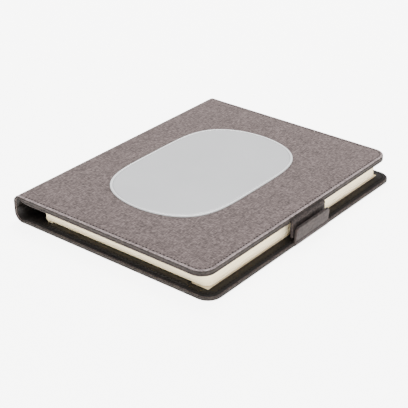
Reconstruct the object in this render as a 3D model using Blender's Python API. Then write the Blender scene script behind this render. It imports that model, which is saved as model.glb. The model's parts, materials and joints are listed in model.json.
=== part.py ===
"""A5 folio with a wireless charging pad set into its front cover.

The folio lies closed on its back cover.  X runs from the spine (-X) to the fore-edge (+X),
Y runs along the spine and Z is up.  The origin is the middle of the footprint, on the
surface that the folio lies on.  All sizes are in metres.

Five pieces move: the spine on the back cover, the front cover on the spine, the two closing
tabs on their fabric hinges, and the notebook in its sleeve.
"""
import math

import bmesh
import bpy
from mathutils import Vector

MM = 0.001

# ---- overall sizes -------------------------------------------------------------------
COVER_LENGTH = 225 * MM       # along the spine
COVER_CORNER = 11 * MM        # radius of the two fore-edge corners
PAGE_WIDTH = 147 * MM         # A5 notebook, trimmed
PAGE_LENGTH = 207 * MM
PAGE_CORNER = 6 * MM
PAGE_STACK = 10.7 * MM        # thickness of the paper alone
SPINE_ROOM = 21.6 * MM        # clear width between the spine wall and the notebook
FORE_MARGIN = 4.6 * MM        # front cover past the pages

# ---- sheet materials -----------------------------------------------------------------
SKIN = 0.6 * MM               # woven outer fabric with its backing
TURN_IN = 0.5 * MM            # thickness of the fabric where it is folded in over the board
TURN_IN_WIDTH = 13 * MM       # how far it is folded in
LINING = 0.5 * MM             # smooth inner lining
LINING_INSET = 1.2 * MM       # lining edge to cover edge
BACK_BOARD = 1.5 * MM
FRONT_BOARD = 1.8 * MM
PADDING = 1.2 * MM            # foam under the fabric of the front cover
SPINE_CARD = 0.8 * MM
GLUE = 0.1 * MM               # glue line between two layers
FIT = 0.3 * MM                # clearance between pieces that only rest on each other
SPINE_CARD_INSET = 3 * MM     # spine card to the near and far cover edges
BOARD_START = 1 * MM          # board set back from the fabric's edge at the folds
WINDOW_CORNER = 2 * MM        # corner radius where the turned-in fabric ends
PAST = 5 * MM                 # how far a cutter reaches past what it cuts

# ---- spine folds ---------------------------------------------------------------------
LOWER_FOLD = 7.5 * MM         # radius of the fold between spine and back cover
UPPER_FOLD = 5.5 * MM         # radius of the fold between spine and front cover

# ---- notebook and its sleeve ---------------------------------------------------------
NOTEBOOK_CARD = 0.4 * MM
SLEEVE = 0.6 * MM             # thickness of the sleeve panel
SLEEVE_HEM = 1.5 * MM         # width of its stitched-down edge
SLEEVE_START = 7.0 * MM       # notebook spine to the mouth of the sleeve
SLEEVE_WIDTH = 127.5 * MM
SLEEVE_MARGIN = 3.0 * MM      # sleeve edge to the near and far cover edges
CARD_TO_HEM = 6.0 * MM        # notebook's back flap to the closed end of the sleeve

# ---- closing tabs --------------------------------------------------------------------
TAB_WIDTH = 41 * MM           # along Y
TAB_CENTRE = 1.5 * MM         # along Y
FRONT_TAB = 2.1 * MM          # thicknesses
BACK_TAB = 2.2 * MM
TAB_GAP = 0.9 * MM            # lets the front tab swing past the back tab
BACK_TAB_TOP = 15.0 * MM      # height of the back tab's free edge
BACK_TAB_LEAN = 5.0           # degrees, outwards
FRONT_TAB_TOP_DROP = 2.6 * MM    # front cover's top to the root of its tab
FRONT_TAB_FOOT = 1.2 * MM        # front tab's free edge above the back lining
TAB_CORNER = 3.0 * MM
TAB_PLATE = 0.9 * MM          # steel plate and magnet, both this thick
TAB_PLATE_MARGIN = 2.5 * MM

# ---- charging pad --------------------------------------------------------------------
PAD_HALF_WIDTH = 49.2 * MM
PAD_HALF_LENGTH = 74.5 * MM
PAD_WIDTH_POWER = 2.0         # exponents of the outline, across and along: 2 is an ellipse,
PAD_LENGTH_POWER = 4.5        # higher is squarer
PAD_CENTRE_FROM_EDGE = 92.4 * MM    # pad centre to the front cover's fore-edge
PAD_CENTRE_Y = 1.0 * MM
PAD_PROUD = 1.0 * MM          # bezel above the fabric
BEZEL_WIDTH = 2.0 * MM
BEZEL_LIP = 1.0 * MM          # how far the bezel covers the edge of the fabric
TOP_PLATE = 1.2 * MM
TOP_PLATE_SINK = 0.2 * MM     # top plate below the bezel
BASE_FLOOR = 1.0 * MM
BASE_WALL = 1.2 * MM
SCREW_SHANK = 0.8 * MM        # radii
SCREW_HEAD = 1.6 * MM
SCREW_HEAD_HEIGHT = 0.5 * MM
BOSS = 2.3 * MM
SCREW_INSET = 0.66            # screw places, as a share of the half width and half length
COIL_OUTER = 24 * MM          # radii
COIL_INNER = 10 * MM
COIL_THICK = 1.1 * MM
FERRITE_OUTER = 26 * MM
FERRITE_THICK = 0.8 * MM
CIRCUIT_WIDTH = 38 * MM
CIRCUIT_LENGTH = 24 * MM
CIRCUIT_THICK = 0.8 * MM
CIRCUIT_TO_FERRITE = 4 * MM
CHIP = 6 * MM
CHIP_THICK = 0.9 * MM
CHOKE = 7 * MM
CHOKE_THICK = 1.3 * MM

# ---- power inlet ---------------------------------------------------------------------
SOCKET_WIDTH = 7.6 * MM
SOCKET_HEIGHT = 2.5 * MM
SOCKET_DEPTH = 5.4 * MM
SOCKET_WALL = 0.3 * MM
TONGUE_WIDTH = 5.2 * MM
TONGUE_HEIGHT = 0.7 * MM
SURROUND_WIDTH = 12 * MM
SURROUND_HEIGHT = 3.3 * MM
SURROUND_DEPTH = 1.6 * MM
SURROUND_SINK = 0.1 * MM
LEAD_WIDTH = 4.0 * MM
LEAD_THICK = 0.8 * MM

# ---- heights, worked out from the layers ---------------------------------------------
BACK_TOP = SKIN + GLUE + BACK_BOARD + GLUE + TURN_IN + GLUE + LINING
FLAP_Z = BACK_TOP + GLUE
SLEEVE_Z = FLAP_Z + NOTEBOOK_CARD + GLUE
PAGES_Z = SLEEVE_Z + SLEEVE + GLUE
NOTEBOOK_TOP = PAGES_Z + PAGE_STACK + GLUE + NOTEBOOK_CARD
FRONT_Z = NOTEBOOK_TOP + 2 * GLUE
FRONT_TURN_Z = FRONT_Z + LINING + GLUE
FRONT_BOARD_Z = FRONT_TURN_Z + TURN_IN + GLUE
PADDING_Z = FRONT_BOARD_Z + FRONT_BOARD + GLUE
FRONT_SKIN_Z = PADDING_Z + PADDING + GLUE
FRONT_TOP = FRONT_SKIN_Z + SKIN

# ---- places along X, from the spine's outer face -------------------------------------
SPINE_WALL = SKIN + GLUE + SPINE_CARD + GLUE + LINING
NOTEBOOK_FROM_SPINE = SPINE_WALL + SPINE_ROOM
FORE_FROM_SPINE = NOTEBOOK_FROM_SPINE + 2 * NOTEBOOK_CARD + PAGE_WIDTH + FORE_MARGIN
BACK_TAB_OUT = FORE_FROM_SPINE + FIT + FRONT_TAB + TAB_GAP + BACK_TAB
BACK_TAB_AXIS_Z = BACK_TAB / 2
LEAN = math.radians(BACK_TAB_LEAN)
TAB_REACH = (BACK_TAB / 2) * math.cos(LEAN) + (BACK_TAB_TOP - BACK_TAB_AXIS_Z) * math.sin(LEAN)
TOTAL_WIDTH = BACK_TAB_OUT - BACK_TAB / 2 + TAB_REACH

SPINE_X = -TOTAL_WIDTH / 2
LOWER_AXIS = Vector((SPINE_X + LOWER_FOLD, 0, LOWER_FOLD))
UPPER_AXIS = Vector((SPINE_X + UPPER_FOLD, 0, FRONT_TOP - UPPER_FOLD))
BACK_START = LOWER_AXIS.x + LOWER_FOLD + FIT
FRONT_START = UPPER_AXIS.x + UPPER_FOLD + FIT
NOTEBOOK_X = SPINE_X + NOTEBOOK_FROM_SPINE
PAGE_START = NOTEBOOK_X + 2 * NOTEBOOK_CARD
PAGE_END = PAGE_START + PAGE_WIDTH
FRONT_END = SPINE_X + FORE_FROM_SPINE
FRONT_TAB_X = FRONT_END + FIT
BACK_TAB_X = FRONT_TAB_X + FRONT_TAB + TAB_GAP
BACK_END = BACK_TAB_X + BACK_TAB - SKIN
HALF = COVER_LENGTH / 2
TAB_NEAR = TAB_CENTRE - TAB_WIDTH / 2
TAB_FAR = TAB_CENTRE + TAB_WIDTH / 2
BACK_TAB_AXIS = Vector((BACK_TAB_X + BACK_TAB / 2, TAB_CENTRE, BACK_TAB_AXIS_Z))
FRONT_TAB_AXIS = Vector((FRONT_END, TAB_CENTRE, FRONT_Z))
PAD_X = FRONT_END - PAD_CENTRE_FROM_EDGE
PAD_Y = PAD_CENTRE_Y

# ---- heights inside the charging pad -------------------------------------------------
BASE_Z = FRONT_Z + LINING + GLUE
BASE_TOP = BASE_Z + BASE_FLOOR
BEZEL_TOP = FRONT_TOP + GLUE + PAD_PROUD
PLATE_TOP = BEZEL_TOP - TOP_PLATE_SINK
PLATE_Z = PLATE_TOP - TOP_PLATE
FERRITE_Z = BASE_TOP + FIT
COIL_Z = FERRITE_Z + FERRITE_THICK + GLUE
CIRCUIT_Z = BASE_TOP + FIT
CIRCUIT_Y = PAD_Y + FERRITE_OUTER + CIRCUIT_TO_FERRITE
SOCKET_Z = (FRONT_Z + LINING + FRONT_SKIN_Z) / 2

COLLECTION = "charging_folio"
CUTTERS = "cutters"


def clear_scene() -> None:
    """Remove everything that is in the open scene."""
    for item in list(bpy.data.objects):
        bpy.data.objects.remove(item, do_unlink=True)
    for name in (COLLECTION, CUTTERS):
        collection = bpy.data.collections.new(name)
        bpy.context.scene.collection.children.link(collection)
    bpy.data.collections[CUTTERS].hide_render = True


def finish(name: str, colour: tuple, roughness: float,
           metallic: float = 0.0) -> bpy.types.Material:
    """A plain material, made once for each name."""
    found = bpy.data.materials.get(name)
    if found:
        return found
    made = bpy.data.materials.new(name)
    made.use_nodes = True
    made.diffuse_color = (*colour, 1)
    shader = made.node_tree.nodes["Principled BSDF"]
    shader.inputs["Base Color"].default_value = (*colour, 1)
    shader.inputs["Roughness"].default_value = roughness
    shader.inputs["Metallic"].default_value = metallic
    return made


def fabric() -> bpy.types.Material:
    """Woven taupe outer fabric."""
    return finish("woven_fabric", (0.300, 0.262, 0.250), 0.90)


def lining() -> bpy.types.Material:
    """Smooth charcoal lining."""
    return finish("charcoal_lining", (0.030, 0.028, 0.026), 0.55)


def greyboard() -> bpy.types.Material:
    """Pressed grey board."""
    return finish("greyboard", (0.240, 0.220, 0.190), 0.95)


def foam() -> bpy.types.Material:
    """White foam padding."""
    return finish("foam", (0.700, 0.700, 0.680), 0.95)


def paper() -> bpy.types.Material:
    """Cream paper."""
    return finish("cream_paper", (0.830, 0.790, 0.680), 0.85)


def shell_plastic() -> bpy.types.Material:
    """Pale grey moulded plastic of the pad."""
    return finish("pale_plastic", (0.560, 0.570, 0.570), 0.40)


def trim_plastic() -> bpy.types.Material:
    """Brighter plastic of the bezel."""
    return finish("bezel_plastic", (0.680, 0.690, 0.690), 0.30)


def dark_plastic() -> bpy.types.Material:
    """Black moulded plastic."""
    return finish("black_plastic", (0.020, 0.020, 0.020), 0.45)


def steel() -> bpy.types.Material:
    """Plain steel."""
    return finish("steel", (0.560, 0.560, 0.550), 0.30, 1.0)


def copper() -> bpy.types.Material:
    """Enamelled copper wire."""
    return finish("copper", (0.720, 0.330, 0.170), 0.35, 1.0)


def ferrite() -> bpy.types.Material:
    """Sintered ferrite."""
    return finish("ferrite", (0.050, 0.048, 0.050), 0.60)


def circuit_green() -> bpy.types.Material:
    """Solder mask."""
    return finish("circuit_green", (0.020, 0.160, 0.060), 0.40)


def empty(name: str, place: Vector, parent=None) -> bpy.types.Object:
    """An empty on a joint's axis, which carries the pieces of one moving body."""
    made = bpy.data.objects.new(name, None)
    made.empty_display_size = 0.01
    bpy.data.collections[COLLECTION].objects.link(made)
    made.location = place - (parent_place(parent))
    made.parent = parent
    return made


def parent_place(parent) -> Vector:
    """World place of a parent empty; the empties are level while pieces are added."""
    place = Vector((0, 0, 0))
    while parent:
        place = place + parent.location
        parent = parent.parent
    return place


def add(name: str, mesh, material, parent=None, cutter: bool = False) -> bpy.types.Object:
    """Link a mesh given in world coordinates, with its origin at the middle of its box."""
    low = Vector([min(v.co[i] for v in mesh.vertices) for i in range(3)])
    high = Vector([max(v.co[i] for v in mesh.vertices) for i in range(3)])
    middle = (low + high) / 2
    for vertex in mesh.vertices:
        vertex.co -= middle
    made = bpy.data.objects.new(name, mesh)
    if cutter:
        made.hide_render = True
        made.display_type = "WIRE"
    else:
        mesh.materials.append(material)
    bpy.data.collections[CUTTERS if cutter else COLLECTION].objects.link(made)
    made.location = middle - parent_place(parent)
    made.parent = parent
    return made


def block_mesh(x: tuple, y: tuple, z: tuple) -> bpy.types.Mesh:
    """A box between the given (low, high) pairs."""
    mesh = bpy.data.meshes.new("block")
    shape = bmesh.new()
    bmesh.ops.create_cube(shape, size=1.0)
    spans = (x, y, z)
    for vertex in shape.verts:
        for axis, (low, high) in enumerate(spans):
            vertex.co[axis] = high if vertex.co[axis] > 0 else low
    shape.to_mesh(mesh)
    shape.free()
    return mesh


def disc_mesh(place: tuple, radius: float, z: tuple, sides: int = 32) -> bpy.types.Mesh:
    """An upright cylinder around place, between two heights."""
    mesh = bpy.data.meshes.new("disc")
    shape = bmesh.new()
    bmesh.ops.create_cone(shape, cap_ends=True, segments=sides, radius1=radius, radius2=radius,
                          depth=z[1] - z[0])
    bmesh.ops.translate(shape, verts=shape.verts, vec=(place[0], place[1], (z[0] + z[1]) / 2))
    shape.to_mesh(mesh)
    shape.free()
    return mesh


def plate_mesh(outline: list, span: tuple, plane: str = "XY") -> bpy.types.Mesh:
    """A flat outline extruded between two levels; plane names the outline's two axes."""
    curve = bpy.data.curves.new("outline", "CURVE")
    curve.dimensions = "2D"
    curve.fill_mode = "BOTH"
    curve.extrude = (span[1] - span[0]) / 2
    spline = curve.splines.new("POLY")
    spline.points.add(len(outline) - 1)
    for point, (across, along) in zip(spline.points, outline):
        point.co = (across, along, 0, 1)
    spline.use_cyclic_u = True
    holder = bpy.data.objects.new("outline", curve)
    bpy.context.scene.collection.objects.link(holder)
    level = (span[0] + span[1]) / 2
    if plane == "XY":
        holder.location = (0, 0, level)
    elif plane == "XZ":
        holder.rotation_euler = (math.pi / 2, 0, 0)
        holder.location = (0, level, 0)
    else:
        holder.rotation_euler = (math.pi / 2, 0, math.pi / 2)
        holder.location = (level, 0, 0)
    bpy.context.view_layer.update()
    evaluated = holder.evaluated_get(bpy.context.evaluated_depsgraph_get())
    mesh = bpy.data.meshes.new_from_object(evaluated)
    mesh.transform(holder.matrix_world)
    shape = bmesh.new()
    shape.from_mesh(mesh)
    bmesh.ops.remove_doubles(shape, verts=shape.verts, dist=0.000001)
    shape.to_mesh(mesh)
    shape.free()
    bpy.data.objects.remove(holder, do_unlink=True)
    return mesh


def arc(centre: tuple, radius: float, start: float, end: float, steps: int = 8) -> list:
    """Points on an arc, angles in degrees."""
    points = []
    for step in range(steps + 1):
        angle = math.radians(start + (end - start) * step / steps)
        points.append((centre[0] + radius * math.cos(angle), centre[1] + radius * math.sin(angle)))
    return points


def cover_outline(start: float, end: float, half: float, radius: float) -> list:
    """A cover seen from above: square at the spine, rounded at the fore-edge."""
    points = [(start, -half)]
    points += arc((end - radius, -half + radius), radius, -90, 0)
    points += arc((end - radius, half - radius), radius, 0, 90)
    points.append((start, half))
    return points


def pad_outline(shrink: float, count: int = 72) -> list:
    """The pad's outline, moved inwards by shrink."""
    points = []
    for step in range(count):
        angle = 2 * math.pi * step / count
        cosine, sine = math.cos(angle), math.sin(angle)
        across = math.copysign(abs(cosine) ** (2 / PAD_WIDTH_POWER), cosine)
        along = math.copysign(abs(sine) ** (2 / PAD_LENGTH_POWER), sine)
        points.append((PAD_X + (PAD_HALF_WIDTH - shrink) * across,
                       PAD_Y + (PAD_HALF_LENGTH - shrink) * along))
    return points


def tab_outline(low: float, high: float, inset: float = 0.0, round_top: bool = True) -> list:
    """A tab seen from the fore-edge, with its two free corners rounded."""
    near, far = TAB_NEAR + inset, TAB_FAR - inset
    radius = max(TAB_CORNER - inset, 0.5 * MM)
    if round_top:
        corners = arc((far - radius, high - radius), radius, 0, 90, 6)
        corners += arc((near + radius, high - radius), radius, 90, 180, 6)
        return [(near, low), (far, low)] + corners
    corners = arc((near + radius, low + radius), radius, 180, 270, 6)
    corners += arc((far - radius, low + radius), radius, 270, 360, 6)
    return corners + [(far, high), (near, high)]


def cut(target, tool) -> None:
    """Cut a cutter out of a piece."""
    modifier = target.modifiers.new("cut_" + tool.name, "BOOLEAN")
    modifier.operation = "DIFFERENCE"
    modifier.solver = "EXACT"
    modifier.object = tool


def join(target, tool) -> None:
    """Join a helper shape to a piece."""
    modifier = target.modifiers.new("join_" + tool.name, "BOOLEAN")
    modifier.operation = "UNION"
    modifier.solver = "EXACT"
    modifier.object = tool


def round_off(target) -> None:
    """Shade a piece smooth, keeping its sharp edges."""
    target.data.shade_smooth()
    target.data.set_sharp_from_angle(angle=math.radians(40))


def build_back_cover() -> None:
    """Fabric shell, board and lining of the back cover, and the notebook's sleeve."""
    board_z = SKIN + GLUE
    turn_z = board_z + BACK_BOARD + GLUE
    shell_top = turn_z + TURN_IN
    edge = SKIN + GLUE
    notch = (BACK_TAB_X - FIT, BACK_END + PAST)
    notch_y = (TAB_NEAR - FIT, TAB_FAR + FIT)
    shell = add("back_cover_fabric", plate_mesh(
        cover_outline(BACK_START, BACK_END, HALF, COVER_CORNER), (0, shell_top)), fabric())
    hollow = add("cut_back_hollow", plate_mesh(
        cover_outline(BACK_START - PAST, BACK_END - SKIN, HALF - SKIN, COVER_CORNER - SKIN),
        (SKIN, turn_z)), None, cutter=True)
    window = add("cut_back_window", plate_mesh(
        cover_outline(BACK_START - PAST, BACK_END - TURN_IN_WIDTH, HALF - TURN_IN_WIDTH,
                      WINDOW_CORNER),
        (SKIN + MM, shell_top + PAST)), None, cutter=True)
    tab_room = add("cut_back_tab_room", block_mesh(notch, notch_y, (SKIN, shell_top + PAST)),
                   None, cutter=True)
    tongue_end = add("cut_back_tongue", block_mesh(
        (BACK_TAB_AXIS.x, BACK_END + PAST), notch_y, (-PAST, shell_top + PAST)), None, cutter=True)
    for tool in (hollow, window, tab_room, tongue_end):
        cut(shell, tool)
    board = add("back_cover_board", plate_mesh(
        cover_outline(BACK_START + BOARD_START, BACK_END - edge, HALF - edge, COVER_CORNER - edge),
        (board_z, board_z + BACK_BOARD)), greyboard())
    cut(board, tab_room)
    lining_z = shell_top + GLUE
    sheet = add("back_cover_lining", plate_mesh(
        cover_outline(BACK_START, BACK_END - LINING_INSET, HALF - LINING_INSET,
                      COVER_CORNER - LINING_INSET), (lining_z, lining_z + LINING)), lining())
    cut(sheet, tab_room)
    build_sleeve()


def build_sleeve() -> None:
    """The sleeve panel: stitched down on three sides and open towards the spine."""
    start = NOTEBOOK_X + SLEEVE_START
    end = start + SLEEVE_WIDTH
    reach = HALF - SLEEVE_MARGIN
    panel = add("notebook_sleeve", block_mesh(
        (start, end), (-reach, reach), (FLAP_Z, SLEEVE_Z + SLEEVE)), lining())
    pocket = add("cut_sleeve_pocket", block_mesh(
        (start - PAST, end - SLEEVE_HEM), (-reach + SLEEVE_HEM, reach - SLEEVE_HEM),
        (FLAP_Z - PAST, SLEEVE_Z)), None, cutter=True)
    cut(panel, pocket)


def build_notebook(holder) -> None:
    """The paper block and its one-piece soft cover, whose back flap is in the sleeve."""
    half = PAGE_LENGTH / 2
    outline = cover_outline(PAGE_START, PAGE_END, half, PAGE_CORNER)
    pages = add("notebook_pages", plate_mesh(outline, (PAGES_Z, PAGES_Z + PAGE_STACK)),
                paper(), holder)
    round_off(pages)
    flap_end = NOTEBOOK_X + SLEEVE_START + SLEEVE_WIDTH - SLEEVE_HEM - CARD_TO_HEM
    wall = NOTEBOOK_X + NOTEBOOK_CARD
    top_card = NOTEBOOK_TOP - NOTEBOOK_CARD
    profile = [(NOTEBOOK_X, FLAP_Z), (flap_end, FLAP_Z), (flap_end, FLAP_Z + NOTEBOOK_CARD),
               (wall, FLAP_Z + NOTEBOOK_CARD), (wall, top_card), (PAGE_END, top_card),
               (PAGE_END, NOTEBOOK_TOP), (NOTEBOOK_X, NOTEBOOK_TOP)]
    add("notebook_cover", plate_mesh(profile, (-half, half), "XZ"), paper(), holder)


def spine_profile(outer: float, inner: float) -> list:
    """Section of one spine layer, between two depths in from the outer face."""
    low, high = (LOWER_AXIS.x, LOWER_AXIS.z), (UPPER_AXIS.x, UPPER_AXIS.z)
    points = arc(low, LOWER_FOLD - outer, 270, 180)
    points += arc(high, UPPER_FOLD - outer, 180, 90)
    points += arc(high, UPPER_FOLD - inner, 90, 180)
    points += arc(low, LOWER_FOLD - inner, 180, 270)
    return points


def build_spine(holder) -> None:
    """Fabric, stiffening card and lining of the spine."""
    card = SKIN + GLUE
    inner = card + SPINE_CARD + GLUE
    layers = (("spine_fabric", 0.0, SKIN, HALF, fabric()),
              ("spine_card", card, card + SPINE_CARD, HALF - SPINE_CARD_INSET, greyboard()),
              ("spine_lining", inner, inner + LINING, HALF - LINING_INSET, lining()))
    for name, outer, depth, half, material in layers:
        piece = add(name, plate_mesh(spine_profile(outer, depth), (-half, half), "XZ"),
                    material, holder)
        round_off(piece)


def front_cutters(holder) -> dict:
    """Shapes cut out of the front cover's layers."""
    opening = BEZEL_LIP - FIT
    low, high = FRONT_Z - PAST, FRONT_TOP + PAST
    socket_y = HALF - SURROUND_DEPTH
    half_surround = SURROUND_WIDTH / 2 + FIT
    half_socket = SOCKET_WIDTH / 2 + FIT
    half_lead = LEAD_WIDTH / 2 + FIT
    room_z = (SOCKET_Z - SURROUND_HEIGHT / 2 - FIT, SOCKET_Z + SURROUND_HEIGHT / 2 + FIT)
    socket_back = HALF - SOCKET_DEPTH - FIT
    lead_top = max(CIRCUIT_Z + LEAD_THICK + FIT, PADDING_Z - GLUE / 2)    # clears the board's top
    shapes = {
        "pad": plate_mesh(pad_outline(opening), (low, high)),
        "surround": block_mesh((PAD_X - half_surround, PAD_X + half_surround),
                               (socket_y - FIT, HALF + PAST), room_z),
        "socket": block_mesh((PAD_X - half_socket, PAD_X + half_socket),
                             (socket_back, HALF + PAST),
                             (FRONT_TURN_Z - FIT / 2, FRONT_SKIN_Z - GLUE / 2)),
        "lead": block_mesh((PAD_X - half_lead, PAD_X + half_lead),
                           (PAD_Y, HALF - SURROUND_DEPTH),
                           (CIRCUIT_Z - FIT, lead_top)),
    }
    return {key: add("cut_front_" + key, mesh, None, holder, cutter=True)
            for key, mesh in shapes.items()}


def build_front_cover(holder) -> None:
    """Fabric shell, padding, board and lining of the front cover."""
    edge = SKIN + GLUE
    tools = front_cutters(holder)
    shell = add("front_cover_fabric", plate_mesh(
        cover_outline(FRONT_START, FRONT_END, HALF, COVER_CORNER),
        (FRONT_TURN_Z, FRONT_TOP)), fabric(), holder)
    hollow = add("cut_front_hollow", plate_mesh(
        cover_outline(FRONT_START - PAST, FRONT_END - SKIN, HALF - SKIN, COVER_CORNER - SKIN),
        (FRONT_TURN_Z + TURN_IN, FRONT_SKIN_Z)), None, holder, cutter=True)
    window = add("cut_front_window", plate_mesh(
        cover_outline(FRONT_START - PAST, FRONT_END - TURN_IN_WIDTH, HALF - TURN_IN_WIDTH,
                      WINDOW_CORNER), (FRONT_Z - PAST, FRONT_SKIN_Z - MM)), None, holder,
        cutter=True)
    for tool in (hollow, window, tools["pad"], tools["surround"], tools["socket"]):
        cut(shell, tool)
    inner = cover_outline(FRONT_START + BOARD_START, FRONT_END - edge, HALF - edge,
                          COVER_CORNER - edge)
    board = add("front_cover_board", plate_mesh(
        inner, (FRONT_BOARD_Z, FRONT_BOARD_Z + FRONT_BOARD)), greyboard(), holder)
    padding = add("front_cover_padding", plate_mesh(
        inner, (PADDING_Z, PADDING_Z + PADDING)), foam(), holder)
    for tool in tools.values():
        cut(board, tool)
    for key in ("pad", "surround", "socket"):
        cut(padding, tools[key])
    add("front_cover_lining", plate_mesh(
        cover_outline(FRONT_START, FRONT_END - LINING_INSET, HALF - LINING_INSET,
                      COVER_CORNER - LINING_INSET), (FRONT_Z, FRONT_Z + LINING)),
        lining(), holder)


def screw_places() -> list:
    """The four screws that hold the pad's top plate to its base."""
    across = PAD_HALF_WIDTH * SCREW_INSET
    along = PAD_HALF_LENGTH * SCREW_INSET
    return [(PAD_X + i * across, PAD_Y + j * along) for i in (-1, 1) for j in (-1, 1)]


def build_pad_shell(holder) -> None:
    """Bezel, top plate and base of the charging pad, with the screws that join them."""
    skirt = BEZEL_LIP
    mouth = BEZEL_WIDTH
    bezel = add("pad_bezel", plate_mesh(pad_outline(0), (FRONT_TOP + GLUE, BEZEL_TOP)),
                trim_plastic(), holder)
    sleeve = add("join_bezel_skirt", plate_mesh(
        pad_outline(skirt), (BASE_TOP + FIT, FRONT_TOP + PAD_PROUD / 2)), None, holder, cutter=True)
    bore = add("cut_bezel_bore", plate_mesh(
        pad_outline(mouth), (BASE_Z, BEZEL_TOP + PAST)), None, holder, cutter=True)
    lead_room = bpy.data.objects["cut_front_lead"]
    join(bezel, sleeve)
    cut(bezel, bore)
    cut(bezel, lead_room)
    plate = add("pad_top_plate", plate_mesh(pad_outline(mouth + FIT), (PLATE_Z, PLATE_TOP)),
                shell_plastic(), holder)
    base = add("pad_base", plate_mesh(pad_outline(skirt), (BASE_Z, BASE_TOP)),
               dark_plastic(), holder)
    rim = add("join_base_rim", plate_mesh(
        pad_outline(mouth + FIT), (BASE_Z + BASE_FLOOR / 2, PLATE_Z - FIT)), None, holder,
        cutter=True)
    tray = add("cut_base_tray", plate_mesh(
        pad_outline(mouth + FIT + BASE_WALL), (BASE_TOP, PLATE_Z + PAST)), None, holder,
        cutter=True)
    join(base, rim)
    cut(base, tray)
    cut(base, lead_room)
    boss_z = BASE_TOP + FIT
    for index, place in enumerate(screw_places(), start=1):
        boss = add(f"join_boss_{index}", disc_mesh(
            place, BOSS, (boss_z, PLATE_Z + TOP_PLATE / 2), 16), None, holder, cutter=True)
        pilot = add(f"cut_pilot_{index}", disc_mesh(
            place, SCREW_SHANK + GLUE, (boss_z - MM, PLATE_Z + GLUE), 12), None, holder, cutter=True)
        shank_hole = add(f"cut_shank_{index}", disc_mesh(
            place, SCREW_SHANK + GLUE, (BASE_Z - MM, boss_z + MM), 12), None, holder, cutter=True)
        head_hole = add(f"cut_head_{index}", disc_mesh(
            place, SCREW_HEAD + GLUE, (BASE_Z - MM, BASE_Z + SCREW_HEAD_HEIGHT + GLUE), 16),
            None, holder, cutter=True)
        join(plate, boss)
        cut(plate, pilot)
        cut(base, shank_hole)
        cut(base, head_hole)
        head_top = BASE_Z + GLUE / 2 + SCREW_HEAD_HEIGHT
        screw = add(f"pad_screw_{index}", disc_mesh(
            place, SCREW_HEAD, (BASE_Z + GLUE / 2, head_top), 16), steel(), holder)
        shank = add(f"join_shank_{index}", disc_mesh(
            place, SCREW_SHANK, (head_top - GLUE, PLATE_Z), 12), None, holder, cutter=True)
        join(screw, shank)


def build_charger(holder) -> None:
    """Ferrite, coil, circuit board and the parts on it."""
    add("ferrite_disc", disc_mesh((PAD_X, PAD_Y), FERRITE_OUTER,
                                  (FERRITE_Z, FERRITE_Z + FERRITE_THICK), 48), ferrite(), holder)
    coil = add("charging_coil", disc_mesh((PAD_X, PAD_Y), COIL_OUTER,
                                          (COIL_Z, COIL_Z + COIL_THICK), 48), copper(), holder)
    eye = add("cut_coil_eye", disc_mesh((PAD_X, PAD_Y), COIL_INNER,
                                        (COIL_Z - MM, COIL_Z + COIL_THICK + MM), 32),
              None, holder, cutter=True)
    cut(coil, eye)
    circuit_top = CIRCUIT_Z + CIRCUIT_THICK
    circuit_end = CIRCUIT_Y + CIRCUIT_LENGTH
    add("circuit_board", block_mesh(
        (PAD_X - CIRCUIT_WIDTH / 2, PAD_X + CIRCUIT_WIDTH / 2), (CIRCUIT_Y, circuit_end),
        (CIRCUIT_Z, circuit_top)), circuit_green(), holder)
    part_y = (CIRCUIT_Y + circuit_end) / 2
    chip_x = PAD_X - CIRCUIT_WIDTH / 4
    choke_x = PAD_X + CIRCUIT_WIDTH / 4
    add("control_chip", block_mesh(
        (chip_x - CHIP / 2, chip_x + CHIP / 2), (part_y - CHIP / 2, part_y + CHIP / 2),
        (circuit_top + GLUE, circuit_top + GLUE + CHIP_THICK)), dark_plastic(), holder)
    add("power_choke", block_mesh(
        (choke_x - CHOKE / 2, choke_x + CHOKE / 2), (part_y - CHOKE / 2, part_y + CHOKE / 2),
        (circuit_top + GLUE, circuit_top + GLUE + CHOKE_THICK)), ferrite(), holder)
    build_inlet(holder, circuit_end)


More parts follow.
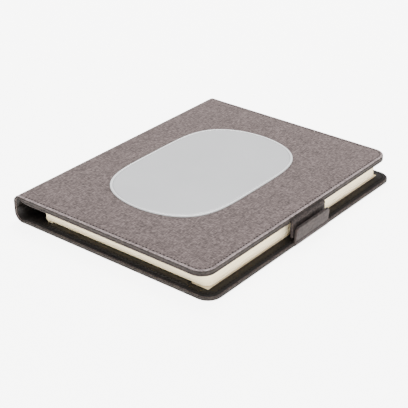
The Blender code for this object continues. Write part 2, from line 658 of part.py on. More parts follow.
def build_inlet(holder, circuit_end: float) -> None:
    """Power socket in the far edge, its surround, and the flat lead to the circuit board."""
    back = HALF - SOCKET_DEPTH
    shell = add("power_socket", block_mesh(
        (PAD_X - SOCKET_WIDTH / 2, PAD_X + SOCKET_WIDTH / 2), (back, HALF),
        (SOCKET_Z - SOCKET_HEIGHT / 2, SOCKET_Z + SOCKET_HEIGHT / 2)), steel(), holder)
    mouth_x = SOCKET_WIDTH / 2 - SOCKET_WALL
    mouth_z = SOCKET_HEIGHT / 2 - SOCKET_WALL
    mouth = add("cut_socket_mouth", block_mesh(
        (PAD_X - mouth_x, PAD_X + mouth_x), (back + SOCKET_WALL, HALF + PAST),
        (SOCKET_Z - mouth_z, SOCKET_Z + mouth_z)), None, holder, cutter=True)
    cut(shell, mouth)
    add("socket_tongue", block_mesh(
        (PAD_X - TONGUE_WIDTH / 2, PAD_X + TONGUE_WIDTH / 2),
        (back + SOCKET_WALL + GLUE, HALF - MM),
        (SOCKET_Z - TONGUE_HEIGHT / 2, SOCKET_Z + TONGUE_HEIGHT / 2)), dark_plastic(), holder)
    front = HALF - SURROUND_SINK
    surround = add("socket_surround", block_mesh(
        (PAD_X - SURROUND_WIDTH / 2, PAD_X + SURROUND_WIDTH / 2), (front - SURROUND_DEPTH, front),
        (SOCKET_Z - SURROUND_HEIGHT / 2, SOCKET_Z + SURROUND_HEIGHT / 2)), dark_plastic(), holder)
    hole = add("cut_surround_hole", block_mesh(
        (PAD_X - SOCKET_WIDTH / 2 - GLUE, PAD_X + SOCKET_WIDTH / 2 + GLUE),
        (HALF - PAST, HALF + PAST),
        (SOCKET_Z - SOCKET_HEIGHT / 2 - GLUE, SOCKET_Z + SOCKET_HEIGHT / 2 + GLUE)),
        None, holder, cutter=True)
    cut(surround, hole)
    add("power_lead", block_mesh(
        (PAD_X - LEAD_WIDTH / 2, PAD_X + LEAD_WIDTH / 2), (circuit_end + GLUE, back - GLUE),
        (CIRCUIT_Z, CIRCUIT_Z + LEAD_THICK)), dark_plastic(), holder)


def build_tab(name: str, plate_name: str, face: float, thickness: float, z: tuple,
              round_top: bool, holder) -> None:
    """A fabric tab with a steel piece slipped into it from its hinged edge."""
    middle = face + thickness / 2
    tab = add(name, plate_mesh(tab_outline(z[0], z[1], 0.0, round_top),
                               (face, face + thickness), "YZ"), fabric(), holder)
    room = TAB_PLATE / 2 + GLUE
    inset = TAB_PLATE_MARGIN - GLUE
    if round_top:
        pocket_z = (z[0] - PAST, z[1] - inset)
        plate_z = (z[0] + TAB_PLATE_MARGIN, z[1] - TAB_PLATE_MARGIN)
    else:
        pocket_z = (z[0] + inset, z[1] + PAST)
        plate_z = (z[0] + TAB_PLATE_MARGIN, z[1] - TAB_PLATE_MARGIN)
    pocket = add("cut_" + name, block_mesh(
        (middle - room, middle + room), (TAB_NEAR + inset, TAB_FAR - inset), pocket_z),
        None, holder, cutter=True)
    cut(tab, pocket)
    add(plate_name, block_mesh(
        (middle - TAB_PLATE / 2, middle + TAB_PLATE / 2),
        (TAB_NEAR + TAB_PLATE_MARGIN, TAB_FAR - TAB_PLATE_MARGIN), plate_z), steel(), holder)


def build_folio() -> None:
    """Every body of the folio, each on its own joint."""
    lower = empty("spine_fold", LOWER_AXIS)
    upper = empty("front_cover_fold", UPPER_AXIS, lower)
    front_tab = empty("front_tab_fold", FRONT_TAB_AXIS, upper)
    back_tab = empty("back_tab_fold", BACK_TAB_AXIS)
    notebook = empty("notebook_slide", Vector((NOTEBOOK_X, 0, FLAP_Z)))
    build_back_cover()
    build_notebook(notebook)
    build_spine(lower)
    build_front_cover(upper)
    build_pad_shell(upper)
    build_charger(upper)
    build_tab("front_tab_fabric", "front_tab_plate", FRONT_TAB_X, FRONT_TAB,
              (BACK_TOP + FRONT_TAB_FOOT, FRONT_TOP - FRONT_TAB_TOP_DROP), False, front_tab)
    build_tab("back_tab_fabric", "back_tab_magnet", BACK_TAB_X, BACK_TAB,
              (BACK_TAB_AXIS_Z + FIT, BACK_TAB_TOP), True, back_tab)
    back_tab.rotation_euler = (0, LEAN, 0)


clear_scene()
build_folio()
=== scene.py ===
"""Looks of the A5 folio with a wireless charging pad in its front cover.

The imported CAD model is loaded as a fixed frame.  The folio's cloth, stitching, pad, paper and
inlet are built around it as fine meshes.  All lengths are metres unless a name says otherwise.

The woven skin is worked out flat first and then wrapped.  In the flat, x is the same as in the
frame as far as a cover's fold, and runs on past it along the unrolled fold and spine wall.
"""
import json
import logging
import math
from dataclasses import dataclass, field
from enum import Enum
from typing import Callable, Iterable, Sequence

import bmesh
import bpy
import numpy as np
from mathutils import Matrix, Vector


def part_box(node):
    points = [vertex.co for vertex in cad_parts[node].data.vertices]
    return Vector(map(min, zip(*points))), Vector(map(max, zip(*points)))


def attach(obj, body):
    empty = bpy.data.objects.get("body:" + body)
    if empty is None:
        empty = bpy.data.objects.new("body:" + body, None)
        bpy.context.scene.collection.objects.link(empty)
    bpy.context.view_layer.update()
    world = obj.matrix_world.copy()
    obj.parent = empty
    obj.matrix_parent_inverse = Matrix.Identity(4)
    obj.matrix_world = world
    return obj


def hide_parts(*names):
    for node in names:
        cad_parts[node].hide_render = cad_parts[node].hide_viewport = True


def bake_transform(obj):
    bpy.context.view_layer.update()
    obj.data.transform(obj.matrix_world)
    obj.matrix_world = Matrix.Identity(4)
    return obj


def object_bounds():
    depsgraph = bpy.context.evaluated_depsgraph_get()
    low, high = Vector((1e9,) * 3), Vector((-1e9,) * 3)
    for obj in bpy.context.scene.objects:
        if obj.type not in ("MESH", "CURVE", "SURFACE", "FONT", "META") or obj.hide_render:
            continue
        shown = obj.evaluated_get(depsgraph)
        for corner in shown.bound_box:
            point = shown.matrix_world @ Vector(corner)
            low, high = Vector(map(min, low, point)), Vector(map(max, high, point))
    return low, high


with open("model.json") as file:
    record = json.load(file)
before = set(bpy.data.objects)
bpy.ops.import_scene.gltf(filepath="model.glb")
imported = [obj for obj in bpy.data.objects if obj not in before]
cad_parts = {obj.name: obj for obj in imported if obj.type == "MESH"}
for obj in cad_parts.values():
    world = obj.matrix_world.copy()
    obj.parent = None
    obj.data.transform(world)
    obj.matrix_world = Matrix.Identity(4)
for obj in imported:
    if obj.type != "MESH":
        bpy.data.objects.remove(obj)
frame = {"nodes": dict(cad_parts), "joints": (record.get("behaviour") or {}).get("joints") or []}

logging.basicConfig(level=logging.INFO, format="%(message)s")
LOG = logging.getLogger("folio")

MM = 0.001
CAD_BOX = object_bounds()

Point2 = tuple[float, float]
Point3 = tuple[float, float, float]


# ---- small tools ---------------------------------------------------------------------------


def linear(hex_code: str) -> tuple[float, float, float, float]:
    """Turn an sRGB hex colour into linear RGBA.

    Args:
        hex_code: six hex digits, with or without a leading hash sign.

    Returns:
        Linear red, green and blue, and an alpha of 1.
    """
    digits = hex_code.lstrip("#")
    values = [int(digits[i:i + 2], 16) / 255 for i in (0, 2, 4)]
    red, green, blue = (v / 12.92 if v <= 0.04045 else ((v + 0.055) / 1.055) ** 2.4
                        for v in values)
    return (red, green, blue, 1.0)


def step(value: float, low: float, high: float) -> float:
    """Smooth step of value from 0 at low to 1 at high."""
    share = min(1.0, max(0.0, (value - low) / (high - low)))
    return share * share * (3 - 2 * share)


def add_node(tree: bpy.types.NodeTree, kind: str, settings: dict | None = None,
             inputs: dict | None = None, links: dict | None = None) -> bpy.types.Node:
    """Add one shader node with its settings, values and links.

    Args:
        tree: the material's node tree.
        kind: the node's Blender type name.
        settings: attributes of the node itself.
        inputs: values for its sockets, by name or number.
        links: output sockets to connect to its sockets, by name or number.

    Returns:
        The new node.
    """
    node = tree.nodes.new(kind)
    for name, value in (settings or {}).items():
        setattr(node, name, value)
    for name, value in (inputs or {}).items():
        node.inputs[name].default_value = value
    for name, socket in (links or {}).items():
        tree.links.new(socket, node.inputs[name])
    return node


def set_ramp(node: bpy.types.Node, stops: Sequence[tuple[float, str]]) -> None:
    """Set the colours of a ColorRamp node from (place, hex) stops."""
    ramp = node.color_ramp
    while len(ramp.elements) < len(stops):
        ramp.elements.new(1.0)
    for element, (place, colour) in zip(ramp.elements, stops):
        element.position = place
        element.color = linear(colour)


def link_piece(name: str, mesh: bpy.types.Mesh, *materials: bpy.types.Material,
               smooth_angle: float = 35.0) -> bpy.types.Object:
    """Put a mesh in the scene as one named, smooth-shaded piece.

    Args:
        name: the piece's name.
        mesh: its mesh, in frame coordinates.
        materials: its finishes, in the order of the faces' material numbers.
        smooth_angle: edges sharper than this many degrees stay crisp.

    Returns:
        The new object.
    """
    mesh.name = name
    for material in materials:
        mesh.materials.append(material)
    piece = bpy.data.objects.new(name, mesh)
    bpy.context.scene.collection.objects.link(piece)
    mesh.shade_smooth()
    mesh.set_sharp_from_angle(angle=math.radians(smooth_angle))
    return piece


def thicken(piece: bpy.types.Object, thickness: float) -> None:
    """Give a cloth sheet its thickness, inwards from the face it was drawn with."""
    solid = piece.modifiers.new("thickness", "SOLIDIFY")
    solid.thickness = thickness
    solid.offset = -1
    solid.use_even_offset = False


def soften(piece: bpy.types.Object, width: float, segments: int = 2) -> None:
    """Round a piece's edges."""
    bevel = piece.modifiers.new("rounding", "BEVEL")
    bevel.width = width
    bevel.segments = segments
    bevel.limit_method = "ANGLE"
    bevel.angle_limit = math.radians(30)
    bevel.harden_normals = False


def arc(centre: Point2, radius: float, start: float, end: float, steps: int = 8) -> list[Point2]:
    """Points on an arc, with angles in degrees."""
    angles = [math.radians(start + (end - start) * i / steps) for i in range(steps + 1)]
    return [(centre[0] + radius * math.cos(a), centre[1] + radius * math.sin(a)) for a in angles]


def rounded_rectangle(half_x: float, half_y: float, radius: float, steps: int = 8) -> list[Point2]:
    """A rounded rectangle round the origin, anticlockwise."""
    points: list[Point2] = []
    for turn, (sx, sy) in enumerate(((1, 1), (-1, 1), (-1, -1), (1, -1))):
        centre = (sx * (half_x - radius), sy * (half_y - radius))
        points += arc(centre, radius, 90 * turn, 90 * turn + 90, steps)
    return points


def loft(rings: Sequence[Sequence[Point3]], closed: bool = True, cap_first: bool = False,
         cap_last: bool = False) -> bpy.types.Mesh:
    """Join rings of equal length into a skin.

    Args:
        rings: rows of points, each row with the same number of points.
        closed: whether each row runs round on itself.
        cap_first: whether the first row gets a face across it.
        cap_last: whether the last row gets a face across it.

    Returns:
        A mesh with its faces turned outwards where it is closed.
    """
    shape = bmesh.new()
    rows = [[shape.verts.new(p) for p in ring] for ring in rings]
    count = len(rows[0])
    last = count if closed else count - 1
    for low, high in zip(rows, rows[1:]):
        for i in range(last):
            j = (i + 1) % count
            shape.faces.new((low[i], low[j], high[j], high[i]))
    if cap_first:
        shape.faces.new(list(reversed(rows[0])))
    if cap_last:
        shape.faces.new(rows[-1])
    if cap_first and cap_last:
        bmesh.ops.recalc_face_normals(shape, faces=shape.faces)
    mesh = bpy.data.meshes.new("loft")
    shape.to_mesh(mesh)
    shape.free()
    return mesh


def add_flat_map(mesh: bpy.types.Mesh, flat: Sequence[Point2]) -> None:
    """Store each vertex's place in the flat cloth as the mesh's UV map, in metres."""
    layer = mesh.uv_layers.new(name="flat")
    for loop in mesh.loops:
        layer.data[loop.index].uv = flat[loop.vertex_index]


def joined_mesh(parts: Iterable[bpy.types.Mesh]) -> bpy.types.Mesh:
    """One mesh that holds every given mesh."""
    shape = bmesh.new()
    for part in parts:
        shape.from_mesh(part)
        bpy.data.meshes.remove(part)
    mesh = bpy.data.meshes.new("joined")
    shape.to_mesh(mesh)
    shape.free()
    return mesh


# ---- finishes ------------------------------------------------------------------------------


class Layout(Enum):
    """Where a finish takes its pattern's coordinates from."""

    FLAT = "the cloth's flat map"
    SOLID = "the piece's own place"


def coordinates(tree: bpy.types.NodeTree, layout: Layout) -> bpy.types.NodeSocket:
    """The socket that gives a pattern its coordinates, in metres."""
    if layout is Layout.FLAT:
        return add_node(tree, "ShaderNodeUVMap", {"uv_map": "flat"}).outputs["UV"]
    return add_node(tree, "ShaderNodeTexCoord").outputs["Object"]


def start_material(name: str, settings: dict) -> tuple[bpy.types.Material, bpy.types.Node]:
    """A new node material and its Principled shader, with uniform values set on the shader."""
    made = bpy.data.materials.new(name)
    made.use_nodes = True
    shader = made.node_tree.nodes["Principled BSDF"]
    for socket, value in settings.items():
        shader.inputs[socket].default_value = value
    return made, shader


@dataclass(frozen=True)
class WovenMelange:
    """Plain-woven melange polyester: light and dark yarns give the eye a fine taupe fleck."""

    name: str = "woven_melange_polyester"
    yarn_pitch: float = 0.55 * MM
    fleck_length: float = 2.7 * MM    # dyed stretches of yarn
    fleck_width: float = 0.58 * MM    # one yarn
    dark: str = "#453C3B"
    middle: str = "#625654"
    light: str = "#807270"
    sheen: float = 0.12
    layout: Layout = Layout.FLAT

    def build(self) -> bpy.types.Material:
        """Make the material.

        Returns:
            The finished cloth material.
        """
        made, shader = start_material(self.name, {
            "Roughness": 0.88, "Specular IOR Level": 0.25, "Sheen Weight": self.sheen,
            "Sheen Roughness": 0.45, "Sheen Tint": linear("#CFC4BF")})
        tree = made.node_tree
        place = coordinates(tree, self.layout)
        yarns = [self.yarn_flecks(tree, place, along) for along in (0, 1)]
        flecks = add_node(tree, "ShaderNodeMix", {"data_type": "FLOAT"}, {"Factor": 0.5},
                          {2: yarns[0], 3: yarns[1]}).outputs[0]
        patches = add_node(tree, "ShaderNodeTexNoise", {}, {
            "Scale": 1 / (14 * MM), "Detail": 3.0, "Roughness": 0.6}, {"Vector": place})
        mixed = add_node(tree, "ShaderNodeMix", {"data_type": "FLOAT"}, {"Factor": 0.08},
                         {2: flecks, 3: patches.outputs["Fac"]}).outputs[0]
        ramp = add_node(tree, "ShaderNodeValToRGB", {}, {}, {"Fac": mixed})
        set_ramp(ramp, ((0.40, self.dark), (0.50, self.middle), (0.61, self.light)))
        weave = self.plain_weave(tree, place)
        shade = add_node(tree, "ShaderNodeMapRange", {}, {
            "From Min": 0.0, "From Max": 1.0, "To Min": 0.86, "To Max": 1.08}, {"Value": weave})
        colour = add_node(tree, "ShaderNodeMix", {"data_type": "RGBA", "blend_type": "MULTIPLY"},
                          {0: 1.0}, {6: ramp.outputs["Color"], 7: shade.outputs[0]}).outputs[2]
        height = add_node(tree, "ShaderNodeMath", {"operation": "ADD"}, {}, {
            0: weave, 1: flecks}).outputs[0]
        bump = add_node(tree, "ShaderNodeBump", {}, {
            "Strength": 0.35, "Distance": 0.12 * MM}, {"Height": height})
        tree.links.new(colour, shader.inputs["Base Color"])
        tree.links.new(bump.outputs["Normal"], shader.inputs["Normal"])
        return made

    def yarn_flecks(self, tree: bpy.types.NodeTree, place: bpy.types.NodeSocket,
                    along: int) -> bpy.types.NodeSocket:
        """Noise stretched along one of the two yarn directions."""
        scale = [1 / self.fleck_width] * 3
        scale[along] = 1 / self.fleck_length
        offset = [0.0, 0.0, 7.3 * (along + 1)]
        mapped = add_node(tree, "ShaderNodeMapping", {}, {"Scale": scale, "Location": offset},
                          {"Vector": place})
        noise = add_node(tree, "ShaderNodeTexNoise", {}, {
            "Scale": 1.0, "Detail": 2.0, "Roughness": 0.55}, {"Vector": mapped.outputs[0]})
        return noise.outputs["Fac"]

    def plain_weave(self, tree: bpy.types.NodeTree,
                    place: bpy.types.NodeSocket) -> bpy.types.NodeSocket:
        """Over-and-under height of the two yarns, from 0 to 1."""
        parts = add_node(tree, "ShaderNodeSeparateXYZ", {}, {}, {0: place})
        waves = []
        for axis in (0, 1):
            turned = add_node(tree, "ShaderNodeMath", {"operation": "MULTIPLY"},
                              {1: math.pi / self.yarn_pitch}, {0: parts.outputs[axis]})
            waves.append(add_node(tree, "ShaderNodeMath", {"operation": "SINE"}, {},
                                  {0: turned.outputs[0]}).outputs[0])
        product = add_node(tree, "ShaderNodeMath", {"operation": "MULTIPLY"}, {},
                           {0: waves[0], 1: waves[1]}).outputs[0]
        return add_node(tree, "ShaderNodeMapRange", {}, {
            "From Min": -1.0, "From Max": 1.0}, {"Value": product}).outputs[0]


@dataclass(frozen=True)
class GrainedLining:
    """Polyurethane-coated lining: embossed with a small soft grain, so it has broken highlights."""

    name: str = "embossed_polyurethane_lining"
    grain: float = 1.1 * MM
    colour: str = "#151210"
    worn: str = "#211D1A"
    roughness: float = 0.58

    def build(self) -> bpy.types.Material:
        """Make the material.

        Returns:
            The finished lining material.
        """
        made, shader = start_material(self.name, {"IOR": 1.5, "Specular IOR Level": 0.2})
        tree = made.node_tree
        place = coordinates(tree, Layout.SOLID)
        cells = add_node(tree, "ShaderNodeTexVoronoi", {"feature": "SMOOTH_F1"}, {
            "Scale": 1 / self.grain, "Smoothness": 0.6, "Randomness": 0.9}, {"Vector": place})
        rub = add_node(tree, "ShaderNodeTexNoise", {}, {
            "Scale": 1 / (18 * MM), "Detail": 5.0, "Roughness": 0.65}, {"Vector": place})
        ramp = add_node(tree, "ShaderNodeValToRGB", {}, {}, {"Fac": rub.outputs["Fac"]})
        set_ramp(ramp, ((0.35, self.colour), (0.70, self.worn)))
        gloss = add_node(tree, "ShaderNodeMapRange", {}, {
            "To Min": self.roughness - 0.08, "To Max": self.roughness + 0.10},
            {"Value": rub.outputs["Fac"]})
        bump = add_node(tree, "ShaderNodeBump", {}, {"Strength": 0.5, "Distance": 0.10 * MM},
                        {"Height": cells.outputs["Distance"]})
        tree.links.new(ramp.outputs["Color"], shader.inputs["Base Color"])
        tree.links.new(gloss.outputs[0], shader.inputs["Roughness"])
        tree.links.new(bump.outputs["Normal"], shader.inputs["Normal"])
        return made


@dataclass(frozen=True)
class MouldedPlastic:
    """Moulded ABS: a fine spark-eroded texture breaks up the highlight of its satin surface."""

    name: str
    colour: str
    roughness: float
    grit: float = 0.35 * MM
    relief: float = 0.01 * MM
    coat: float = 0.0

    def build(self) -> bpy.types.Material:
        """Make the material.

        Returns:
            The finished plastic.
        """
        made, shader = start_material(self.name, {
            "IOR": 1.53, "Coat Weight": self.coat, "Coat Roughness": 0.12})
        tree = made.node_tree
        place = coordinates(tree, Layout.SOLID)
        grit = add_node(tree, "ShaderNodeTexNoise", {}, {
            "Scale": 1 / self.grit, "Detail": 2.0}, {"Vector": place})
        cloud = add_node(tree, "ShaderNodeTexNoise", {}, {
            "Scale": 1 / (30 * MM), "Detail": 4.0}, {"Vector": place})
        gloss = add_node(tree, "ShaderNodeMapRange", {}, {
            "To Min": self.roughness - 0.05, "To Max": self.roughness + 0.05},
            {"Value": cloud.outputs["Fac"]})
        tint = add_node(tree, "ShaderNodeMapRange", {}, {"To Min": 0.97, "To Max": 1.03},
                        {"Value": cloud.outputs["Fac"]})
        colour = add_node(tree, "ShaderNodeMix", {"data_type": "RGBA", "blend_type": "MULTIPLY"},
                          {0: 1.0, 6: linear(self.colour)}, {7: tint.outputs[0]}).outputs[2]
        bump = add_node(tree, "ShaderNodeBump", {}, {"Strength": 0.4, "Distance": self.relief},
                        {"Height": grit.outputs["Fac"]})
        tree.links.new(colour, shader.inputs["Base Color"])
        tree.links.new(gloss.outputs[0], shader.inputs["Roughness"])
        tree.links.new(bump.outputs["Normal"], shader.inputs["Normal"])
        return made


@dataclass(frozen=True)
class UncoatedPaper:
    """Uncoated cream paper: matt and faintly fibrous; its cut edges show as fine layers."""

    name: str = "uncoated_cream_paper"
    colour: str = "#FFF0CC"
    shadow: str = "#F3DFB4"
    leaf: float = 0.45 * MM      # four leaves together; one leaf is 0.1 mm and too fine to show

    def build(self) -> bpy.types.Material:
        """Make the material.

        Returns:
            The finished paper.
        """
        made, shader = start_material(self.name, {"Roughness": 0.92, "Specular IOR Level": 0.2})
        tree = made.node_tree
        place = coordinates(tree, Layout.SOLID)
        stretched = add_node(tree, "ShaderNodeMapping", {}, {
            "Scale": (12.0, 12.0, 1 / self.leaf)}, {"Vector": place})
        layers = add_node(tree, "ShaderNodeTexNoise", {}, {
            "Scale": 1.0, "Detail": 2.0}, {"Vector": stretched.outputs[0]})
        fibres = add_node(tree, "ShaderNodeTexNoise", {}, {
            "Scale": 1 / (0.8 * MM), "Detail": 3.0}, {"Vector": place})
        ramp = add_node(tree, "ShaderNodeValToRGB", {}, {}, {"Fac": layers.outputs["Fac"]})
        set_ramp(ramp, ((0.38, self.shadow), (0.60, self.colour)))
        bump = add_node(tree, "ShaderNodeBump", {}, {"Strength": 0.3, "Distance": 0.03 * MM},
                        {"Height": fibres.outputs["Fac"]})
        tree.links.new(ramp.outputs["Color"], shader.inputs["Base Color"])
        tree.links.new(bump.outputs["Normal"], shader.inputs["Normal"])
        return made


@dataclass(frozen=True)
class SpunThread:
    """Bonded polyester sewing thread: a tight twist that catches thin slanting highlights."""

    name: str = "bonded_sewing_thread"
    colour: str = "#241C1E"
    twist: float = 0.5 * MM
    sheen: float = 0.04

    def build(self) -> bpy.types.Material:
        """Make the material.

        Returns:
            The finished thread.
        """
        made, shader = start_material(self.name, {
            "Roughness": 0.7, "Specular IOR Level": 0.15, "Sheen Weight": self.sheen,
            "Base Color": linear(self.colour)})
        tree = made.node_tree
        place = coordinates(tree, Layout.SOLID)
        slanted = add_node(tree, "ShaderNodeMapping", {}, {
            "Rotation": (0.0, 0.0, math.radians(35))}, {"Vector": place})
        twist = add_node(tree, "ShaderNodeTexWave", {}, {
            "Scale": 1 / (self.twist * 2 * math.pi), "Distortion": 1.0},
            {"Vector": slanted.outputs[0]})
        bump = add_node(tree, "ShaderNodeBump", {}, {"Strength": 0.6, "Distance": 0.05 * MM},
                        {"Height": twist.outputs["Fac"]})
        tree.links.new(bump.outputs["Normal"], shader.inputs["Normal"])
        return made


@dataclass(frozen=True)
class PressedFibre:
    """Pressed fibre, such as greyboard, foam or ferrite: matt, with specks of its raw stock."""

    name: str
    colour: str
    speck: str
    grain: float
    roughness: float = 0.95

    def build(self) -> bpy.types.Material:
        """Make the material.

        Returns:
            The finished stock.
        """
        made, shader = start_material(self.name, {
            "Roughness": self.roughness, "Specular IOR Level": 0.25})
        tree = made.node_tree
        place = coordinates(tree, Layout.SOLID)
        specks = add_node(tree, "ShaderNodeTexNoise", {}, {
            "Scale": 1 / self.grain, "Detail": 4.0, "Roughness": 0.7}, {"Vector": place})
        ramp = add_node(tree, "ShaderNodeValToRGB", {}, {}, {"Fac": specks.outputs["Fac"]})
        set_ramp(ramp, ((0.40, self.colour), (0.72, self.speck)))
        bump = add_node(tree, "ShaderNodeBump", {}, {"Strength": 0.4, "Distance": 0.08 * MM},
                        {"Height": specks.outputs["Fac"]})
        tree.links.new(ramp.outputs["Color"], shader.inputs["Base Color"])
        tree.links.new(bump.outputs["Normal"], shader.inputs["Normal"])
        return made


@dataclass(frozen=True)
class DrawnMetal:
    """Drawn, rolled or plated metal: fine lines along its length stretch the highlight."""

    name: str
    colour: str
    roughness: float
    line: float = 0.2 * MM

    def build(self) -> bpy.types.Material:
        """Make the material.

        Returns:
            The finished metal.
        """
        made, shader = start_material(self.name, {"Metallic": 1.0})
        tree = made.node_tree
        place = coordinates(tree, Layout.SOLID)
        lines = add_node(tree, "ShaderNodeMapping", {}, {
            "Scale": (1 / (4 * MM), 1 / self.line, 1 / self.line)}, {"Vector": place})
        noise = add_node(tree, "ShaderNodeTexNoise", {}, {
            "Scale": 1.0, "Detail": 2.0}, {"Vector": lines.outputs[0]})
        gloss = add_node(tree, "ShaderNodeMapRange", {}, {
            "To Min": self.roughness - 0.07, "To Max": self.roughness + 0.12},
            {"Value": noise.outputs["Fac"]})
        tint = add_node(tree, "ShaderNodeMapRange", {}, {"To Min": 0.9, "To Max": 1.05},
                        {"Value": noise.outputs["Fac"]})
        colour = add_node(tree, "ShaderNodeMix", {"data_type": "RGBA", "blend_type": "MULTIPLY"},
                          {0: 1.0, 6: linear(self.colour)}, {7: tint.outputs[0]}).outputs[2]
        tree.links.new(colour, shader.inputs["Base Color"])
        tree.links.new(gloss.outputs[0], shader.inputs["Roughness"])
        return made


@dataclass(frozen=True)
class SolderMask:
    """Glass-fibre board under green solder mask: glossy, with copper tracks showing as ridges."""

    name: str = "solder_masked_glass_fibre"
    colour: str = "#1C5A33"
    track: str = "#2F7A45"
    track_pitch: float = 1.6 * MM

    def build(self) -> bpy.types.Material:
        """Make the material.

        Returns:
            The finished board.
        """
        made, shader = start_material(self.name, {"Roughness": 0.3, "IOR": 1.55})
        tree = made.node_tree
        place = coordinates(tree, Layout.SOLID)
        cells = add_node(tree, "ShaderNodeTexBrick", {}, {
            "Color1": linear(self.colour), "Color2": linear(self.track),
            "Mortar": linear(self.colour), "Scale": 1 / self.track_pitch,
            "Mortar Size": 0.08}, {"Vector": place})
        bump = add_node(tree, "ShaderNodeBump", {}, {"Strength": 0.4, "Distance": 0.035 * MM},
                        {"Height": cells.outputs["Fac"]})
        tree.links.new(cells.outputs["Color"], shader.inputs["Base Color"])
        tree.links.new(bump.outputs["Normal"], shader.inputs["Normal"])
        return made


@dataclass(frozen=True)
class WoundWire:
    """A flat coil wound from enamelled copper wire: rings of fine, glossy turns."""

    name: str = "enamelled_copper_winding"
    colour: str = "#B5622F"
    # Darker copper between the turns: painted shade between the wires.
    gap: str = "#5A2A12"
    wire: float = 0.9 * MM
    centre: Point3 = (0.0, 0.0, 0.0)

    def build(self) -> bpy.types.Material:
        """Make the material.

        Returns:
            The finished winding.
        """
        made, shader = start_material(self.name, {"Metallic": 0.9, "Roughness": 0.28})
        tree = made.node_tree
        place = coordinates(tree, Layout.SOLID)
        centred = add_node(tree, "ShaderNodeMapping", {}, {
            "Location": tuple(-c for c in self.centre)}, {"Vector": place})
        rings = add_node(tree, "ShaderNodeTexWave", {"wave_type": "RINGS",
                                                    "rings_direction": "Z"},
                         {"Scale": 1 / (self.wire * 2 * math.pi) * 2}, {
                             "Vector": centred.outputs[0]})
        ramp = add_node(tree, "ShaderNodeValToRGB", {}, {}, {"Fac": rings.outputs["Fac"]})
        # The rings run from the painted shade between the turns to the wire's copper.
        set_ramp(ramp, ((0.1, self.gap), (0.5, self.colour)))
        bump = add_node(tree, "ShaderNodeBump", {}, {"Strength": 0.8, "Distance": 0.3 * MM},
                        {"Height": rings.outputs["Fac"]})
        tree.links.new(ramp.outputs["Color"], shader.inputs["Base Color"])
        tree.links.new(bump.outputs["Normal"], shader.inputs["Normal"])
        return made


@dataclass(frozen=True)
class StudioPaper:
    """Matt white studio sweep: paper with barely visible mottling."""

    name: str = "matt_studio_paper"
    colour: str = "#F4F4F3"
    glow: float = 6.5            # the sweep is lit from behind

    def build(self) -> bpy.types.Material:
        """Make the material.

        Returns:
            The finished floor material.
        """
        made, shader = start_material(self.name, {
            "Roughness": 0.9, "Specular IOR Level": 0.1,
            "Emission Color": linear(self.colour), "Emission Strength": self.glow})
        tree = made.node_tree
        cloud = add_node(tree, "ShaderNodeTexNoise", {}, {"Scale": 6.0, "Detail": 2.0},
                         {"Vector": coordinates(tree, Layout.SOLID)})
        tint = add_node(tree, "ShaderNodeMapRange", {}, {"To Min": 0.985, "To Max": 1.0},
                        {"Value": cloud.outputs["Fac"]})
        colour = add_node(tree, "ShaderNodeMix", {"data_type": "RGBA", "blend_type": "MULTIPLY"},
                          {0: 1.0, 6: linear(self.colour)}, {7: tint.outputs[0]}).outputs[2]
        tree.links.new(colour, shader.inputs["Base Color"])
        return made


@dataclass
class FinishSet:
    """Every finish of the folio, each built once."""

    made: dict[str, bpy.types.Material] = field(default_factory=dict)

    def build(self) -> "FinishSet":
        """Build all the finishes.

        Returns:
            The set itself, so that it can be built where it is made.
        """
        low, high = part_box("charging_coil")
        centre = (low + high) / 2
        finishes = {
            "cloth": WovenMelange(),
            # Lighter copy of the cloth for the front cover's folded rim: a painted highlight.
            "cloth_rim": WovenMelange("woven_melange_rim_painted_highlight", dark="#665A58",
                                      middle="#86797A", light="#A59896", sheen=0.2),
            # Darker copy of the cloth for the front cover's side faces: painted shade.
            "cloth_side": WovenMelange("woven_melange_side_painted_shade", dark="#15100E",
                                       middle="#221C19", light="#332B28", sheen=0.02),
            # Darker copy of the cloth for the turned-in underside of both covers: painted shade.
            "cloth_turn": WovenMelange("woven_melange_turn_in_painted_shade", dark="#3E3734",
                                       middle="#544B47", light="#6B615C", sheen=0.05),
            # Darker copy of the cloth for the back cover's side faces: painted shade.
            "cloth_under": WovenMelange("woven_melange_back_side_painted_shade", dark="#161210",
                                        middle="#211C19", light="#302A26", sheen=0.03),
            # Darker copy of the cloth for both tabs and their hinge strips: painted shade.
            "cloth_tab": WovenMelange("woven_melange_tab_painted_shade", dark="#1B1615",
                                      middle="#2A2321", light="#3C3331", sheen=0.02),
            "lining": GrainedLining(),
            "plate": MouldedPlastic("satin_moulded_abs", "#BDBEC0", 0.34, coat=0.15),
            "bezel": MouldedPlastic("polished_moulded_abs", "#E6E7E8", 0.22, 0.5 * MM,
                                    0.004 * MM, 0.4),
            "black": MouldedPlastic("black_moulded_nylon", "#1C1C1D", 0.48),
            "contact": DrawnMetal("gold_plated_contact", "#C9A24A", 0.25),
            "paper": UncoatedPaper(),
            "thread": SpunThread(colour="#6E6361"),
            # Dark domes beside the stitches: painted shadow in the needle holes.
            "needle_hole": SpunThread("needle_hole_shadow", "#0E0B0A", sheen=0.0),
            "dark_thread": SpunThread("bonded_charcoal_thread", "#1B1816"),
            "board": PressedFibre("pressed_greyboard", "#7B756B", "#9A9488", 1.2 * MM),
            "foam": PressedFibre("open_cell_foam", "#D9D8D4", "#EDECE8", 0.6 * MM),
            "ferrite": PressedFibre("sintered_ferrite", "#3A393B", "#4A4A4D", 0.4 * MM, 0.6),
            "steel": DrawnMetal("nickel_plated_steel", "#B9BAB8", 0.30),
            "winding": WoundWire(centre=(centre.x, centre.y, centre.z)),
            "circuit": SolderMask(),
        }
        self.made = {key: finish.build() for key, finish in finishes.items()}
        LOG.info("finishes: %d", len(self.made))
        return self

    def __getitem__(self, key: str) -> bpy.types.Material:
        """The built material of that name."""
        return self.made[key]


# ---- wrapped covers --------------------------------------------------------------------------


